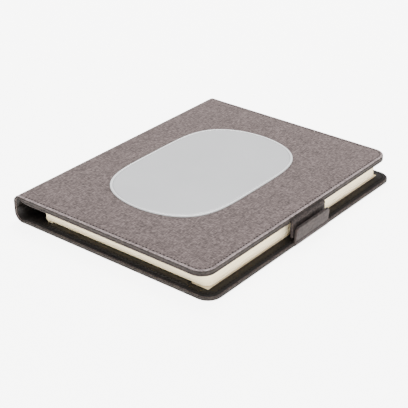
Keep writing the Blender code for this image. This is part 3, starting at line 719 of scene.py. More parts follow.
@dataclass(frozen=True)
class FoldPath:
    """How flat cloth wraps from a cover round its fold and onto the spine wall.

    The cover's outer face is level.  side is 1 where that face looks up and -1 where it looks
    down.
    """

    axis: Vector        # centre of the fold's curve
    radius: float
    wall_end: float     # height at which the sheet stops on the spine wall
    side: int

    @property
    def quarter(self) -> float:
        """Length of cloth in the fold's quarter turn."""
        return self.radius * math.pi / 2

    @property
    def wall_length(self) -> float:
        """Length of cloth on the flat of the spine wall."""
        return abs(self.axis.z - self.wall_end)

    @property
    def flat_start(self) -> float:
        """Flat x of the edge on the spine wall."""
        return self.axis.x - self.quarter - self.wall_length

    def wrap(self, x: float, y: float, depth: float) -> Point3:
        """Place a point of the flat cloth in the frame.

        Args:
            x: flat x.
            y: y, which wrapping leaves alone.
            depth: how far the point is inside the outer face; negative is proud of it.

        Returns:
            The point in frame coordinates.
        """
        reach = self.radius - depth
        if x >= self.axis.x:
            return (x, y, self.axis.z + self.side * reach)
        run = self.axis.x - x
        if run <= self.quarter:
            angle = run / self.radius
            return (self.axis.x - reach * math.sin(angle), y,
                    self.axis.z + self.side * reach * math.cos(angle))
        return (self.axis.x - reach, y, self.axis.z - self.side * (run - self.quarter))


@dataclass(frozen=True)
class CoverOutline:
    """A cover in the flat: square at the spine, rounded at the fore-edge."""

    start: float       # flat x at the spine
    end: float         # x of the fore-edge
    half: float        # half the length along y
    corner: float      # radius of the fore-edge corners
    spacing: float = 2.4 * MM

    def depth_in(self, x: float, y: float) -> float:
        """Distance in from the nearest turned edge; the spine side doesn't count."""
        across = x - (self.end - self.corner)
        along = abs(y) - (self.half - self.corner)
        if across > 0 and along > 0:
            return self.corner - math.hypot(across, along)
        return self.corner - max(across, along)

    def edge_points(self, inset: float = 0.0) -> list[tuple[Point2, Point2]]:
        """Points along the turned edge, from the near end of the spine round to the far end.

        Args:
            inset: how far inside the edge the line runs.

        Returns:
            Pairs of a point and the outward direction there.
        """
        radius = self.corner - inset
        straight = self.end - self.corner - self.start
        count = max(2, round(straight / self.spacing))
        line = [((self.start + straight * i / count, -self.half + inset), (0.0, -1.0))
                for i in range(count)]
        bend = max(8, round(self.corner * math.pi / 2 / (self.spacing * 0.6)))
        for centre_y, first in ((-self.half + self.corner, -90), (self.half - self.corner, 0)):
            for i in range(bend + 1):
                angle = math.radians(first + 90 * i / bend)
                normal = (math.cos(angle), math.sin(angle))
                line.append(((self.end - self.corner + radius * normal[0],
                              centre_y + radius * normal[1]), normal))
            if first == -90:
                side = 2 * (self.half - self.corner)
                steps = round(side / self.spacing)
                line += [((self.end - inset, -self.half + self.corner + side * i / steps),
                          (1.0, 0.0)) for i in range(1, steps)]
        line += [((self.start + straight * (count - 1 - i) / count, self.half - inset),
                  (0.0, 1.0)) for i in range(count)]
        return line

    def walk(self, inset: float, pitch: float) -> list[tuple[Point2, float]]:
        """Evenly spaced places along the edge, for stitches.

        Args:
            inset: how far inside the edge the line runs.
            pitch: distance between places.

        Returns:
            Pairs of a place and the heading of the line there, in radians.
        """
        points = [p for p, _ in self.edge_points(inset)]
        places: list[tuple[Point2, float]] = []
        left = pitch / 2
        for (x0, y0), (x1, y1) in zip(points, points[1:]):
            length = math.hypot(x1 - x0, y1 - y0)
            heading = math.atan2(y1 - y0, x1 - x0)
            while left <= length:
                share = left / length
                places.append(((x0 + (x1 - x0) * share, y0 + (y1 - y0) * share), heading))
                left += pitch
            left -= length
        return places


@dataclass(frozen=True)
class EdgeSection:
    """Section of a cover's edge, from the rim of its outer face down the side and under."""

    thickness: float
    turned_in: float
    rounding: float = 0.9 * MM
    groove: float = 0.25 * MM

    def rows(self) -> list[tuple[float, float, int]]:
        """The section's points.

        Returns:
            Inset from the edge, share of the thickness and number of the finish; the share runs
            from 0 to 1 down the side, and the last rows are on the underside.  Finish 1 is the rim,
            2 the side and 3 the turn-in; 2 and 3 are darker copies of the cloth, painted shade, and
            on the front cover 1 is a lighter copy, a painted highlight.
        """
        full = self.thickness
        points = [(self.rounding * (1 - math.sin(a)), self.rounding * (1 - math.cos(a)) / full)
                  for a in (math.radians(d) for d in (30, 50, 70, 90))]
        points += [(-0.05 * MM, 0.40), (0.0, 0.52), (self.groove, 0.60), (self.groove, 0.66),
                   (0.02 * MM, 0.73), (0.0, 0.85)]
        low = 0.5 * self.rounding
        points += [(low * (1 - math.cos(a)), 1 - low * (1 - math.sin(a)) / full)
                   for a in (math.radians(d) for d in (25, 60, 90))]
        side = len(points)
        points += [(low + (self.turned_in - low) * s, 1.0) for s in (0.4, 1.0)]
        # Finish numbers: 1 rim (painted highlight on the front cover), 2 side and 3 turn-in (darker
        # copies of the cloth, painted shade).
        highlight_and_shade_bands = [1, 1] + [2] * (side - 3) + [3, 3, 3]
        return [(inset, share, highlight_and_shade_band) for (inset, share), highlight_and_shade_band in zip(points, highlight_and_shade_bands)]


@dataclass
class WrappedCover:
    """One cover's cloth: an outer sheet that wraps the fold, with its edges turned in."""

    name: str
    outline: CoverOutline
    fold: FoldPath
    section: EdgeSection
    spine_depth: float                    # thickness of the turned edge along the spine
    field_height: Callable[[float, float], float]
    hole: Callable[[float], Point2] | None = None

    def depth_here(self, x: float) -> float:
        """Thickness of the turned edge at flat x: thin at the spine, full on the cover."""
        begin = self.fold.axis.x
        share = step(x, begin, begin + 6 * MM)
        return self.spine_depth + (self.section.thickness - self.spine_depth) * share

    def closed_outline(self, inset: float) -> list[Point2]:
        """The sheet's whole rim at an inset from its turned edges, spine side included."""
        turned = [p for p, _ in self.outline.edge_points(inset)]
        side = 2 * (self.outline.half - inset)
        count = round(2 * self.outline.half / self.outline.spacing)
        closing = [(self.outline.start, self.outline.half - inset - side * i / count)
                   for i in range(1, count)]
        return turned + closing

    def build_mesh(self) -> bpy.types.Mesh:
        """Make the sheet: rim rings, the field inside them, and the turned edge.

        Returns:
            The wrapped mesh, with the flat map as its UVs.
        """
        insets = [i * MM for i in (0.9, 1.2, 1.5, 1.8, 2.1, 2.4, 2.7, 3.0, 3.5, 4.3, 5.4, 6.6)]
        rings = [self.closed_outline(i) for i in insets]
        inner = rings[-1]
        rows = 26
        if self.hole:
            middle = self.hole_centre()
            target = [self.hole(math.atan2(y - middle[1], x - middle[0])) for x, y in inner]
        else:
            middle = ((self.outline.start + self.outline.end) / 2, 0.0)
            target = [(middle[0] + 0.02 * (x - middle[0]), 0.02 * y) for x, y in inner]
        for i in range(1, rows + 1):
            share = i / rows
            rings.append([(x + (tx - x) * share, y + (ty - y) * share)
                          for (x, y), (tx, ty) in zip(inner, target)])
        shape = bmesh.new()
        flat: list[Point2] = []

        def vertex(x: float, y: float, depth: float, u: float, v: float) -> bmesh.types.BMVert:
            flat.append((u, v))
            return shape.verts.new(self.fold.wrap(x, y, depth))

        field_rows = [[vertex(x, y, -self.field_height(x, y), x, y) for x, y in ring]
                      for ring in rings]
        count = len(field_rows[0])
        for low, high in zip(field_rows, field_rows[1:]):
            for i in range(count):
                j = (i + 1) % count
                shape.faces.new((low[i], low[j], high[j], high[i]))
        # The outer three rings along the turned edges take finish 1: on the front cover the lighter
        # rim copy of the cloth, a painted highlight; on the back cover the plain cloth.
        turned_count = len(self.outline.edge_points())
        for number, face in enumerate(list(shape.faces)[:3 * count]):
            if number % count < turned_count - 1:
                face.material_index = 1
        if not self.hole:
            shape.faces.new(field_rows[-1])
        turned = self.outline.edge_points(0.0)
        upper = field_rows[0][:len(turned)]
        run = -insets[0]
        last = (insets[0], 0.0)
        for inset, share, highlight_and_shade_band in self.section.rows():
            thick = self.section.thickness
            run += math.hypot(inset - last[0], (share - last[1]) * thick)
            last = (inset, share)
            lower = []
            for (x, y), (nx, ny) in turned:
                depth = share * self.depth_here(x)
                lower.append(vertex(x - nx * inset, y - ny * inset, depth,
                                    x + nx * run, y + ny * run))
            for a, b, c, d in zip(upper, lower, lower[1:], upper[1:]):
                shape.faces.new((a, b, c, d)).material_index = highlight_and_shade_band
            upper = lower
        if self.fold.side < 0:
            bmesh.ops.reverse_faces(shape, faces=shape.faces)
        mesh = bpy.data.meshes.new(self.name)
        shape.to_mesh(mesh)
        shape.free()
        add_flat_map(mesh, flat)
        return mesh

    def hole_centre(self) -> Point2:
        """Middle of the hole in the sheet."""
        right, left = self.hole(0.0), self.hole(math.pi)
        far, near = self.hole(math.pi / 2), self.hole(-math.pi / 2)
        return ((right[0] + left[0]) / 2, (far[1] + near[1]) / 2)

    def cut_area(self) -> tuple[Point2, float]:
        """Flat size of the cut cloth, turn-in included, and its area without the hole."""
        extra = self.section.thickness + self.section.turned_in
        width = self.outline.end - self.outline.start + extra
        length = 2 * (self.outline.half + extra)
        area = width * length
        if self.hole:
            ring = [self.hole(2 * math.pi * i / 90) for i in range(90)]
            twice = sum(a[0] * b[1] - b[0] * a[1] for a, b in zip(ring, ring[1:] + ring[:1]))
            area -= abs(twice) / 2
        return (width, length), area


@dataclass
class StitchRow:
    """A row of separate stitches, each a short sagging capsule of thread."""

    name: str
    length: float = 1.5 * MM
    thread: float = 0.50 * MM
    hole: float = 1.50 * MM          # width of the painted shadow at a needle hole, pulled open by the thread between two stitches
    sides: int = 6
    rounds: int = 6

    def stitch(self, place: Point3, along: Vector, up: Vector) -> bpy.types.Mesh:
        """One stitch.

        Args:
            place: its middle, on the cloth.
            along: unit vector along the seam.
            up: unit vector out of the cloth.

        Returns:
            Its mesh.
        """
        across = along.cross(up)
        middle = Vector(place)
        rings = []
        for i in range(self.rounds + 1):
            share = 2 * i / self.rounds - 1
            radius = self.thread / 2 * math.sqrt(max(0.04, 1 - abs(share) ** 3.5))
            rise = self.thread * (0.25 - 0.75 * share * share)
            centre = middle + along * (share * self.length / 2) + up * rise
            rings.append([tuple(centre + (across * math.cos(a) + up * math.sin(a)) * radius)
                          for a in (2 * math.pi * k / self.sides for k in range(self.sides))])
        return loft(rings, cap_first=True, cap_last=True)

    def needle_hole(self, place: Point3, along: Vector, up: Vector,
                    pitch: float) -> bpy.types.Mesh:
        """Painted shadow of the needle hole behind one stitch: a dark patch drawn as a low dome on
        the cloth.
        """
        across = along.cross(up)
        middle = Vector(place) - along * (pitch / 2)
        rings = []
        for share, rise in ((1.0, 0.02), (0.85, 0.13), (0.5, 0.18)):
            radius = self.hole / 2 * share
            rings.append([tuple(middle + (along * math.cos(a) + across * 0.9 * math.sin(a))
                                * radius + up * rise * MM)
                          for a in (2 * math.pi * k / 8 for k in range(8))])
        return loft(rings, cap_first=True, cap_last=True)

    def build(self, stitches: Sequence[tuple[Point3, Vector, Vector]], pitch: float,
              thread: bpy.types.Material, shadow: bpy.types.Material,
              body: str) -> None:
        """Make the row and the painted shadows of its needle holes as two pieces.

        Args:
            stitches: middle, heading and way out of the cloth of each stitch.
            pitch: distance between stitches.
            thread: finish of the stitches.
            shadow: finish of the painted shadows in the needle holes.
            body: CAD body that both pieces ride on.
        """
        mesh = joined_mesh(self.stitch(*s) for s in stitches)
        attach(link_piece(self.name, mesh, thread, smooth_angle=80), body)
        hole_shadows = joined_mesh(self.needle_hole(*s, pitch) for s in stitches)
        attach(link_piece(self.name + "_holes", hole_shadows, shadow, smooth_angle=80), body)


# ---- sub-assemblies --------------------------------------------------------------------------


@dataclass
class Frame:
    """Places of the folio's layers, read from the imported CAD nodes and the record."""

    fold_spine: Vector = field(init=False)
    fold_cover: Vector = field(init=False)
    front_low: Vector = field(init=False)
    front_high: Vector = field(init=False)
    back_low: Vector = field(init=False)
    back_high: Vector = field(init=False)
    spine_x: float = field(init=False)
    wall_middle: float = field(init=False)

    def __post_init__(self) -> None:
        """Read the places."""
        axes = {j["name"]: Vector(j["pos_m"]) for j in frame["joints"] if j["type"] == "hinge"}
        self.fold_spine = axes["spine_fold"]
        self.fold_cover = axes["front_cover_fold"]
        self.front_low, self.front_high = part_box("front_cover_fabric")
        self.back_low, self.back_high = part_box("back_cover_fabric")
        self.spine_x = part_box("spine_fabric")[0].x
        self.wall_middle = (self.fold_spine.z + self.fold_cover.z) / 2

    def fold(self, upper: bool, depth: float = 0.0) -> FoldPath:
        """The fold of the front or back cover, at a depth inside the outer face."""
        axis = self.fold_cover if upper else self.fold_spine
        radius = axis.x - self.spine_x - depth
        return FoldPath(axis, radius, self.wall_middle, 1 if upper else -1)


@dataclass
class PaddedField:
    """The padded part of a cover: its swell comes from a short cloth simulation."""

    low: Vector
    high: Vector
    is_free: Callable[[float, float], bool]
    pitch: float = 3.0 * MM
    pressure: float = 4.0
    frames: int = 20
    cap: float = 0.45 * MM
    rise: np.ndarray = field(init=False)

    def __post_init__(self) -> None:
        """Start from a level field."""
        columns = round((self.high.x - self.low.x) / self.pitch)
        rows = round((self.high.y - self.low.y) / self.pitch)
        self.xs = np.linspace(self.low.x, self.high.x, columns + 1)
        self.ys = np.linspace(self.low.y, self.high.y, rows + 1)
        self.rise = np.zeros((rows + 1, columns + 1))

    def simulate(self) -> None:
        """Push a sheet that is pinned at its seams up from below, and keep how far it rises."""
        mesh = loft([[(float(x), float(y), 0.0) for x in self.xs] for y in self.ys],
                    closed=False)
        sheet = bpy.data.objects.new("padded_field", mesh)
        scene = bpy.context.scene
        scene.collection.objects.link(sheet)
        pins = sheet.vertex_groups.new(name="pins")
        pins.add([v.index for v in mesh.vertices if not self.is_free(v.co.x, v.co.y)], 1.0,
                 "REPLACE")
        modifier = sheet.modifiers.new("swell", "CLOTH")
        settings = modifier.settings
        settings.vertex_group_mass = pins.name
        settings.quality = 5
        settings.use_pressure = True
        settings.uniform_pressure_force = self.pressure
        settings.effector_weights.gravity = 0.0
        for number in range(1, self.frames + 1):
            scene.frame_set(number)
        shaped = sheet.evaluated_get(bpy.context.evaluated_depsgraph_get())
        heights = np.array([v.co.z for v in shaped.data.vertices]).reshape(self.rise.shape)
        self.rise = self.cap * np.tanh(np.maximum(heights, 0.0) / self.cap)
        bpy.data.objects.remove(sheet)
        bpy.data.meshes.remove(mesh)
        scene.frame_set(1)
        LOG.info("padding: swells by up to %.2f mm", float(self.rise.max()) / MM)

    def height(self, x: float, y: float) -> float:
        """Rise of the cloth at a place, between the simulated points."""
        if not self.xs[0] <= x <= self.xs[-1] or abs(y) > self.ys[-1]:
            return 0.0
        i = min(int((x - self.xs[0]) / (self.xs[1] - self.xs[0])), len(self.xs) - 2)
        j = min(int((y - self.ys[0]) / (self.ys[1] - self.ys[0])), len(self.ys) - 2)
        u = (x - self.xs[i]) / (self.xs[i + 1] - self.xs[i])
        v = (y - self.ys[j]) / (self.ys[j + 1] - self.ys[j])
        low = self.rise[j, i] * (1 - u) + self.rise[j, i + 1] * u
        high = self.rise[j + 1, i] * (1 - u) + self.rise[j + 1, i + 1] * u
        return float(low * (1 - v) + high * v)


@dataclass
class FrontCover:
    """Cloth, lining and stitching of the front cover and the upper half of the spine."""

    places: Frame
    finishes: FinishSet
    corner: float = 11 * MM
    seam_inset: float = 2.7 * MM
    seam_dip: float = 0.16 * MM
    stitch_pitch: float = 3.0 * MM
    skin: float = 0.5 * MM

    outline: CoverOutline = field(init=False)
    pad: "Pad" = field(init=False)
    padding: "PaddedField" = field(init=False)

    def __post_init__(self) -> None:
        """Lay the cover out in the flat, and let its padding swell."""
        fold = self.places.fold(True)
        self.outline = CoverOutline(fold.flat_start, self.places.front_high.x,
                                    self.places.front_high.y, self.corner)
        self.pad = Pad(self.finishes)
        self.padding = PaddedField(self.places.front_low, self.places.front_high, self.is_free)
        self.padding.simulate()

    def bezel_hole(self, heading: float) -> Point2:
        """Where the cloth runs under the bezel, in a direction from the pad's middle."""
        return self.pad.outline_at(heading, 0.8 * MM)

    def height(self, x: float, y: float) -> float:
        """Height of the cloth above its plain face: bead, seam dip and padded field."""
        inset = self.outline.depth_in(x, y)
        bead = 0.10 * MM * math.exp(-((inset - 0.9 * MM) / (0.5 * MM)) ** 2)
        dip = self.seam_dip * math.exp(-((inset - self.seam_inset) / (0.6 * MM)) ** 2)
        return bead - dip + self.padding.height(x, y)

    def build(self) -> None:
        """Make the cover's pieces."""
        thickness = self.places.front_high.z - self.places.front_low.z
        cover = WrappedCover(
            "front_cover_cloth", self.outline, self.places.fold(True),
            EdgeSection(thickness, 4.5 * MM), 1.7 * MM, self.height, self.bezel_hole)
        # After the plain cloth come the lighter rim copy (painted highlight) and the darker side and
        # turn-in copies (painted shade).
        cloth = link_piece(cover.name, cover.build_mesh(), self.finishes["cloth"],
                           self.finishes["cloth_rim"], self.finishes["cloth_side"],
                           self.finishes["cloth_turn"], smooth_angle=60)
        thicken(cloth, self.skin)
        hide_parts("front_cover_fabric", "spine_fabric")
        self.bend(cloth)
        flat, area = cover.cut_area()
        self.build_stitches(cover)
        self.build_lining(cover)
        LOG.info("front cover: cloth, stitches and lining")

    def is_free(self, x: float, y: float) -> bool:
        """Whether the padding can move the cloth there: clear of seam, fold and pad."""
        away = Vector((x - self.pad.middle.x, y - self.pad.middle.y))
        rim = self.pad.outline_at(math.atan2(away.y, away.x), -2.0 * MM)
        past_rim = away.length > math.dist(rim, self.pad.middle[:2])
        return (past_rim and x > self.places.front_low.x + 3 * MM
                and self.outline.depth_in(x, y) > self.seam_inset + MM)

    def bend(self, piece: bpy.types.Object) -> None:
        """Bake a piece's transform into its mesh; the wrap round the fold is already in the mesh."""
        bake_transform(piece)

    def build_stitches(self, cover: WrappedCover) -> None:
        """Sew the row that runs inside the three free edges."""
        row = StitchRow("front_cover_stitching")
        stitches = []
        for (x, y), heading in self.outline.walk(self.seam_inset, self.stitch_pitch):
            if x < self.places.front_low.x:
                continue
            z = cover.fold.wrap(x, y, -self.height(x, y))[2]
            stitches.append(((x, y, z), Vector((math.cos(heading), math.sin(heading), 0)),
                             Vector((0, 0, 1))))
        row.build(stitches, self.stitch_pitch, self.finishes["thread"],
                  self.finishes["needle_hole"], "front_cover")

    def build_lining(self, cover: WrappedCover) -> None:
        """Line the cover's inside and the upper half of the spine."""
        lining = Lining("front_cover_liner", self.outline, cover, 1.2 * MM,
                        self.finishes["lining"])
        piece = lining.build()
        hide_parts("front_cover_lining", "spine_lining")
        self.bend(piece)


@dataclass
class Lining:
    """A cover's inner sheet, glued over the turned-in cloth and round the fold."""

    name: str
    outline: CoverOutline
    cover: WrappedCover
    inset: float
    material: bpy.types.Material
    thickness: float = 0.45 * MM

    def build(self) -> bpy.types.Object:
        """Make the sheet.

        Returns:
            The lining's piece, not yet on a body.
        """
        fold, outline = self.cover.fold, self.outline
        rim = self.cover.closed_outline(self.inset)
        middle = ((outline.start + outline.end) / 2, 0.0)
        rows = 14
        shape = bmesh.new()
        flat: list[Point2] = []
        rings = []
        for i in range(rows + 1):
            share = 1 - 0.97 * i / rows
            ring = []
            for x, y in rim:
                fx = middle[0] + (x - middle[0]) * share
                fy = y * share
                depth = self.cover.depth_here(fx) + 0.10 * MM
                if i == 0:
                    depth -= 0.05 * MM
                flat.append((fx, fy))
                ring.append(shape.verts.new(fold.wrap(fx, fy, depth)))
            rings.append(ring)
        count = len(rim)
        for low, high in zip(rings, rings[1:]):
            for i in range(count):
                j = (i + 1) % count
                shape.faces.new((low[j], low[i], high[i], high[j]))
        shape.faces.new(list(reversed(rings[-1])))
        if fold.side < 0:
            bmesh.ops.reverse_faces(shape, faces=shape.faces)
        mesh = bpy.data.meshes.new(self.name)
        shape.to_mesh(mesh)
        shape.free()
        add_flat_map(mesh, flat)
        piece = link_piece(self.name, mesh, self.material, smooth_angle=60)
        solid = piece.modifiers.new("thickness", "SOLIDIFY")
        solid.thickness = self.thickness
        solid.offset = 1
        return piece


@dataclass
class BackCover:
    """Cloth, lining and stitching of the back cover and the lower half of the spine."""

    places: Frame
    finishes: FinishSet
    corner: float = 11 * MM
    seam_inset: float = 2.7 * MM
    stitch_pitch: float = 3.0 * MM
    skin: float = 0.5 * MM

    def build(self) -> None:
        """Make the cover's pieces."""
        fold = self.places.fold(False)
        self.outline = CoverOutline(fold.flat_start, self.places.back_high.x,
                                    self.places.back_high.y, self.corner)
        thickness = self.places.back_high.z - self.places.back_low.z
        cover = WrappedCover("back_cover_cloth", self.outline, fold,
                             EdgeSection(thickness, 4.5 * MM, 0.8 * MM, 0.12 * MM), 1.7 * MM,
                             self.height)
        # The back cover's side and turn-in take darker copies of the cloth: painted shade.
        cloth = link_piece(cover.name, cover.build_mesh(), self.finishes["cloth"],
                           self.finishes["cloth"], self.finishes["cloth_under"],
                           self.finishes["cloth_turn"], smooth_angle=60)
        thicken(cloth, self.skin)
        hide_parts("back_cover_fabric", "spine_fabric")
        self.bend(cloth)
        flat, area = cover.cut_area()
        lining = Lining("back_cover_liner", self.outline, cover, 1.2 * MM,
                        self.finishes["lining"])
        piece = lining.build()
        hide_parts("back_cover_lining", "spine_lining")
        self.bend(piece)
        self.build_stitches(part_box("back_cover_lining")[1].z)
        LOG.info("back cover: cloth, stitches and lining")

    def height(self, x: float, y: float) -> float:
        """The outside is flat, because the folio lies on it."""
        return 0.0

    def bend(self, piece: bpy.types.Object) -> None:
        """Bake a piece's transform into its mesh; the wrap round the fold is already in the mesh."""
        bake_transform(piece)

    def build_stitches(self, level: float) -> None:
        """Sew the row that shows on the lining."""
        row = StitchRow("back_cover_stitching")
        stitches = [((x, y, level), Vector((math.cos(t), math.sin(t), 0)), Vector((0, 0, 1)))
                    for (x, y), t in self.outline.walk(self.seam_inset + MM, self.stitch_pitch)
                    if x > self.places.back_low.x]
        row.build(stitches, self.stitch_pitch, self.finishes["dark_thread"],
                  self.finishes["needle_hole"], "back_cover")


@dataclass
class Pad:
    """The charging pad: bezel and top plate, turned from the pad's own outline."""

    finishes: FinishSet
    width_power: float = 2.0
    length_power: float = 4.5
    samples: int = 144

    def __post_init__(self) -> None:
        """Read the pad's size and place from its bezel."""
        self.low, self.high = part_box("pad_bezel")
        self.middle = (self.low + self.high) / 2
        self.half = (self.high - self.low) / 2

    def outline_at(self, heading: float, inset: float) -> Point2:
        """The outline's point in a direction from the middle, moved in by an inset."""
        a, b = self.half.x - inset, self.half.y - inset
        cosine, sine = abs(math.cos(heading)), abs(math.sin(heading))
        near, far = 0.0, 2 * max(a, b)
        for _ in range(40):
            reach = (near + far) / 2
            value = (reach * cosine / a) ** self.width_power + (reach * sine / b) ** self.length_power
            near, far = (reach, far) if value < 1 else (near, reach)
        return (self.middle.x + near * math.cos(heading), self.middle.y + near * math.sin(heading))

    def ring(self, inset: float, z: float) -> list[Point3]:
        """One ring of the outline at a height, with its points spread along its length."""
        points = []
        for i in range(self.samples):
            angle = 2 * math.pi * i / self.samples
            stretched = math.atan2(math.sin(angle) * self.half.y, math.cos(angle) * self.half.x)
            points.append((*self.outline_at(stretched, inset), z))
        return points

    def build(self) -> None:
        """Make the bezel and the top plate."""
        self.build_bezel()
        self.build_plate()
        LOG.info("pad: bezel and top plate")

    def build_bezel(self) -> None:
        """A rounded rim that laps over the cloth."""
        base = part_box("front_cover_fabric")[1].z - 0.25 * MM
        top = self.high.z
        section = [(0.55, base), (0.15, base + 0.2 * MM), (0.0, base + 0.5 * MM),
                   (0.02, top - 0.65 * MM), (0.12, top - 0.36 * MM), (0.34, top - 0.13 * MM),
                   (0.66, top - 0.02 * MM), (1.0, top), (1.35, top - 0.03 * MM),
                   (1.62, top - 0.14 * MM), (1.76, top - 0.32 * MM), (1.78, top - 0.9 * MM),
                   (1.78, base - 1.2 * MM)]
        mesh = loft([self.ring(inset * MM, z) for inset, z in section])
        piece = link_piece("pad_rim", mesh, self.finishes["bezel"], smooth_angle=50)
        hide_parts("pad_bezel")
        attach(piece, "front_cover")

    def build_plate(self) -> None:
        """A plate with a rolled edge and a very shallow dish for the phone."""
        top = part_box("pad_top_plate")[1].z
        section = [(1.86, top - 1.0 * MM), (1.86, top - 0.42 * MM), (1.93, top - 0.24 * MM),
                   (2.10, top - 0.11 * MM), (2.40, top - 0.03 * MM), (2.9, top),
                   (3.6, top - 0.01 * MM), (6.0, top - 0.04 * MM), (12.0, top - 0.08 * MM),
                   (24.0, top - 0.12 * MM), (40.0, top - 0.14 * MM), (48.0, top - 0.14 * MM)]
        mesh = loft([self.ring(inset * MM, z) for inset, z in section], cap_last=True)
        piece = link_piece("pad_plate", mesh, self.finishes["plate"], smooth_angle=50)
        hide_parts("pad_top_plate")
        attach(piece, "front_cover")


@dataclass
class Notebook:
    """The notebook: leaves with fine steps at their cut edges, and a rounded soft cover."""

    finishes: FinishSet
    leaf_groups: int = 30
    corner: float = 6 * MM

    def outline(self, low: Vector, high: Vector, inset: float) -> list[Point2]:
        """The leaves seen from above, moved in by an inset at the free edges."""
        radius = self.corner - inset
        end, half = high.x - inset, high.y - inset
        points = [(low.x, -half)]
        points += arc((end - radius, -half + radius), radius, -90, 0, 10)
        points += arc((end - radius, half - radius), radius, 0, 90, 10)
        points.append((low.x, half))
        return points

    def build(self) -> None:
        """Make the leaves and the cover."""
        self.build_leaves()
        self.build_cover()
        LOG.info("notebook: leaves and cover")

    def build_leaves(self) -> None:
        """Stack groups of leaves, each set back by a hair from its neighbours."""
        low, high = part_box("notebook_pages")
        random = np.random.default_rng(7)
        pitch = (high.z - low.z) / self.leaf_groups
        rings = []
        for i in range(self.leaf_groups):
            inset = float(random.uniform(0.0, 0.16)) * MM
            outline = self.outline(low, high, inset)
            bottom = low.z + pitch * i
            for share in (0.04, 0.96):
                rings.append([(x, y, bottom + pitch * share) for x, y in outline])
            crease = self.outline(low, high, 0.30 * MM)
            if i < self.leaf_groups - 1:
                rings.append([(x, y, bottom + pitch) for x, y in crease])
        mesh = loft(rings, cap_first=True, cap_last=True)
        piece = link_piece("notebook_leaves", mesh, self.finishes["paper"], smooth_angle=20)
        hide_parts("notebook_pages")
        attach(piece, "notebook")

    def build_cover(self) -> None:
        """A card wrap with a rounded back, and a flap that goes into the sleeve."""
        low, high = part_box("notebook_cover")
        card = 0.35 * MM
        bend = 2.5 * MM
        pages_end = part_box("notebook_pages")[1].x
        middle = [(high.x, low.z)]
        middle += [(x, z) for x, z in arc((low.x + bend, low.z + bend), bend, 270, 180, 6)]
        middle += [(x, z) for x, z in arc((low.x + bend, high.z - bend), bend, 180, 90, 6)]
        middle.append((pages_end, high.z))
        inner = [(high.x, low.z + card)]
        inner += [(x, z) for x, z in arc((low.x + bend, low.z + bend), bend - card, 270, 180, 6)]
        inner += [(x, z) for x, z in arc((low.x + bend, high.z - bend), bend - card, 180, 90, 6)]
        inner.append((pages_end, high.z - card))
        section = middle + inner[::-1]
        rings = [[(x, y, z) for x, z in section]
                 for y in np.linspace(low.y, high.y, 13)]
        mesh = loft(rings, cap_first=True, cap_last=True)
        piece = link_piece("notebook_card_cover", mesh, self.finishes["paper"], smooth_angle=30)
        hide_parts("notebook_cover")
        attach(piece, "notebook")


@dataclass
class SpineStiffener:
    """The flat card in the spine wall, no taller than the wall, so that both folds can bend."""

    places: Frame
    finishes: FinishSet
    thickness: float = 0.8 * MM
    corner: float = 1.2 * MM
    worn: float = 0.1 * MM      # how far the card's cut edges are rubbed down

    def build(self) -> None:
        """Make the card."""
        low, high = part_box("spine_card")
        base, top = self.places.fold_spine.z, self.places.fold_cover.z
        rings: list[list[Point3]] = []
        for x, inset in ((0.0, self.worn), (self.worn, 0.0),
                         (self.thickness - self.worn, 0.0), (self.thickness, self.worn)):
            outline = rounded_rectangle((high.y - low.y) / 2 - inset, (top - base) / 2 - inset,
                                        self.corner - inset)
            rings.append([(low.x + x, (low.y + high.y) / 2 + y, (base + top) / 2 + z)
                          for y, z in outline])
        mesh = loft(rings, cap_first=True, cap_last=True)
        piece = link_piece("spine_stiffener", mesh, self.finishes["board"])
        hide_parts("spine_card")
        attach(piece, "spine")
        LOG.info("spine: stiffener")


@dataclass
class Sleeve:
    """The panel on the back lining that holds the notebook's flap, sewn on three sides."""

    finishes: FinishSet
    seam: float = 0.9 * MM
    stitch_pitch: float = 3.0 * MM

    def build(self) -> None:
        """Make the panel and its stitches."""
        low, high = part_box("notebook_sleeve")
        radius = 3 * MM
        columns, rows = 48, 72
        grid: list[list[Point3]] = []
        for j in range(rows + 1):
            y = low.y + (high.y - low.y) * j / rows
            line = []
            for i in range(columns + 1):
                x = low.x + (high.x - low.x) * i / columns
                edge = min(high.x - x, y - low.y, high.y - y)
                rise = step(edge, 0.0, 2.2 * MM)
                line.append((x, y, low.z + 0.15 * MM + (high.z - low.z - 0.2 * MM) * rise))
            grid.append(line)
        mesh = loft(grid, closed=False)
        add_flat_map(mesh, [(v.co.x, v.co.y) for v in mesh.vertices])
        piece = link_piece("sleeve_panel", mesh, self.finishes["lining"], smooth_angle=60)
        thicken(piece, 0.12 * MM)
        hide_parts("notebook_sleeve")
        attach(piece, "back_cover")
        outline = CoverOutline(low.x, high.x, high.y, radius)
        level = low.z + (high.z - low.z) * 0.55
        stitches = [((x, y, level), Vector((math.cos(t), math.sin(t), 0)), Vector((0, 0, 1)))
                    for (x, y), t in outline.walk(self.seam, self.stitch_pitch)]
        StitchRow("sleeve_stitching").build(
            stitches, self.stitch_pitch, self.finishes["dark_thread"],
            self.finishes["needle_hole"], "back_cover")
        LOG.info("sleeve: panel and stitches")


class TabSide(Enum):
    """Which of the two closing tabs."""

    FRONT = "front"
    BACK = "back"


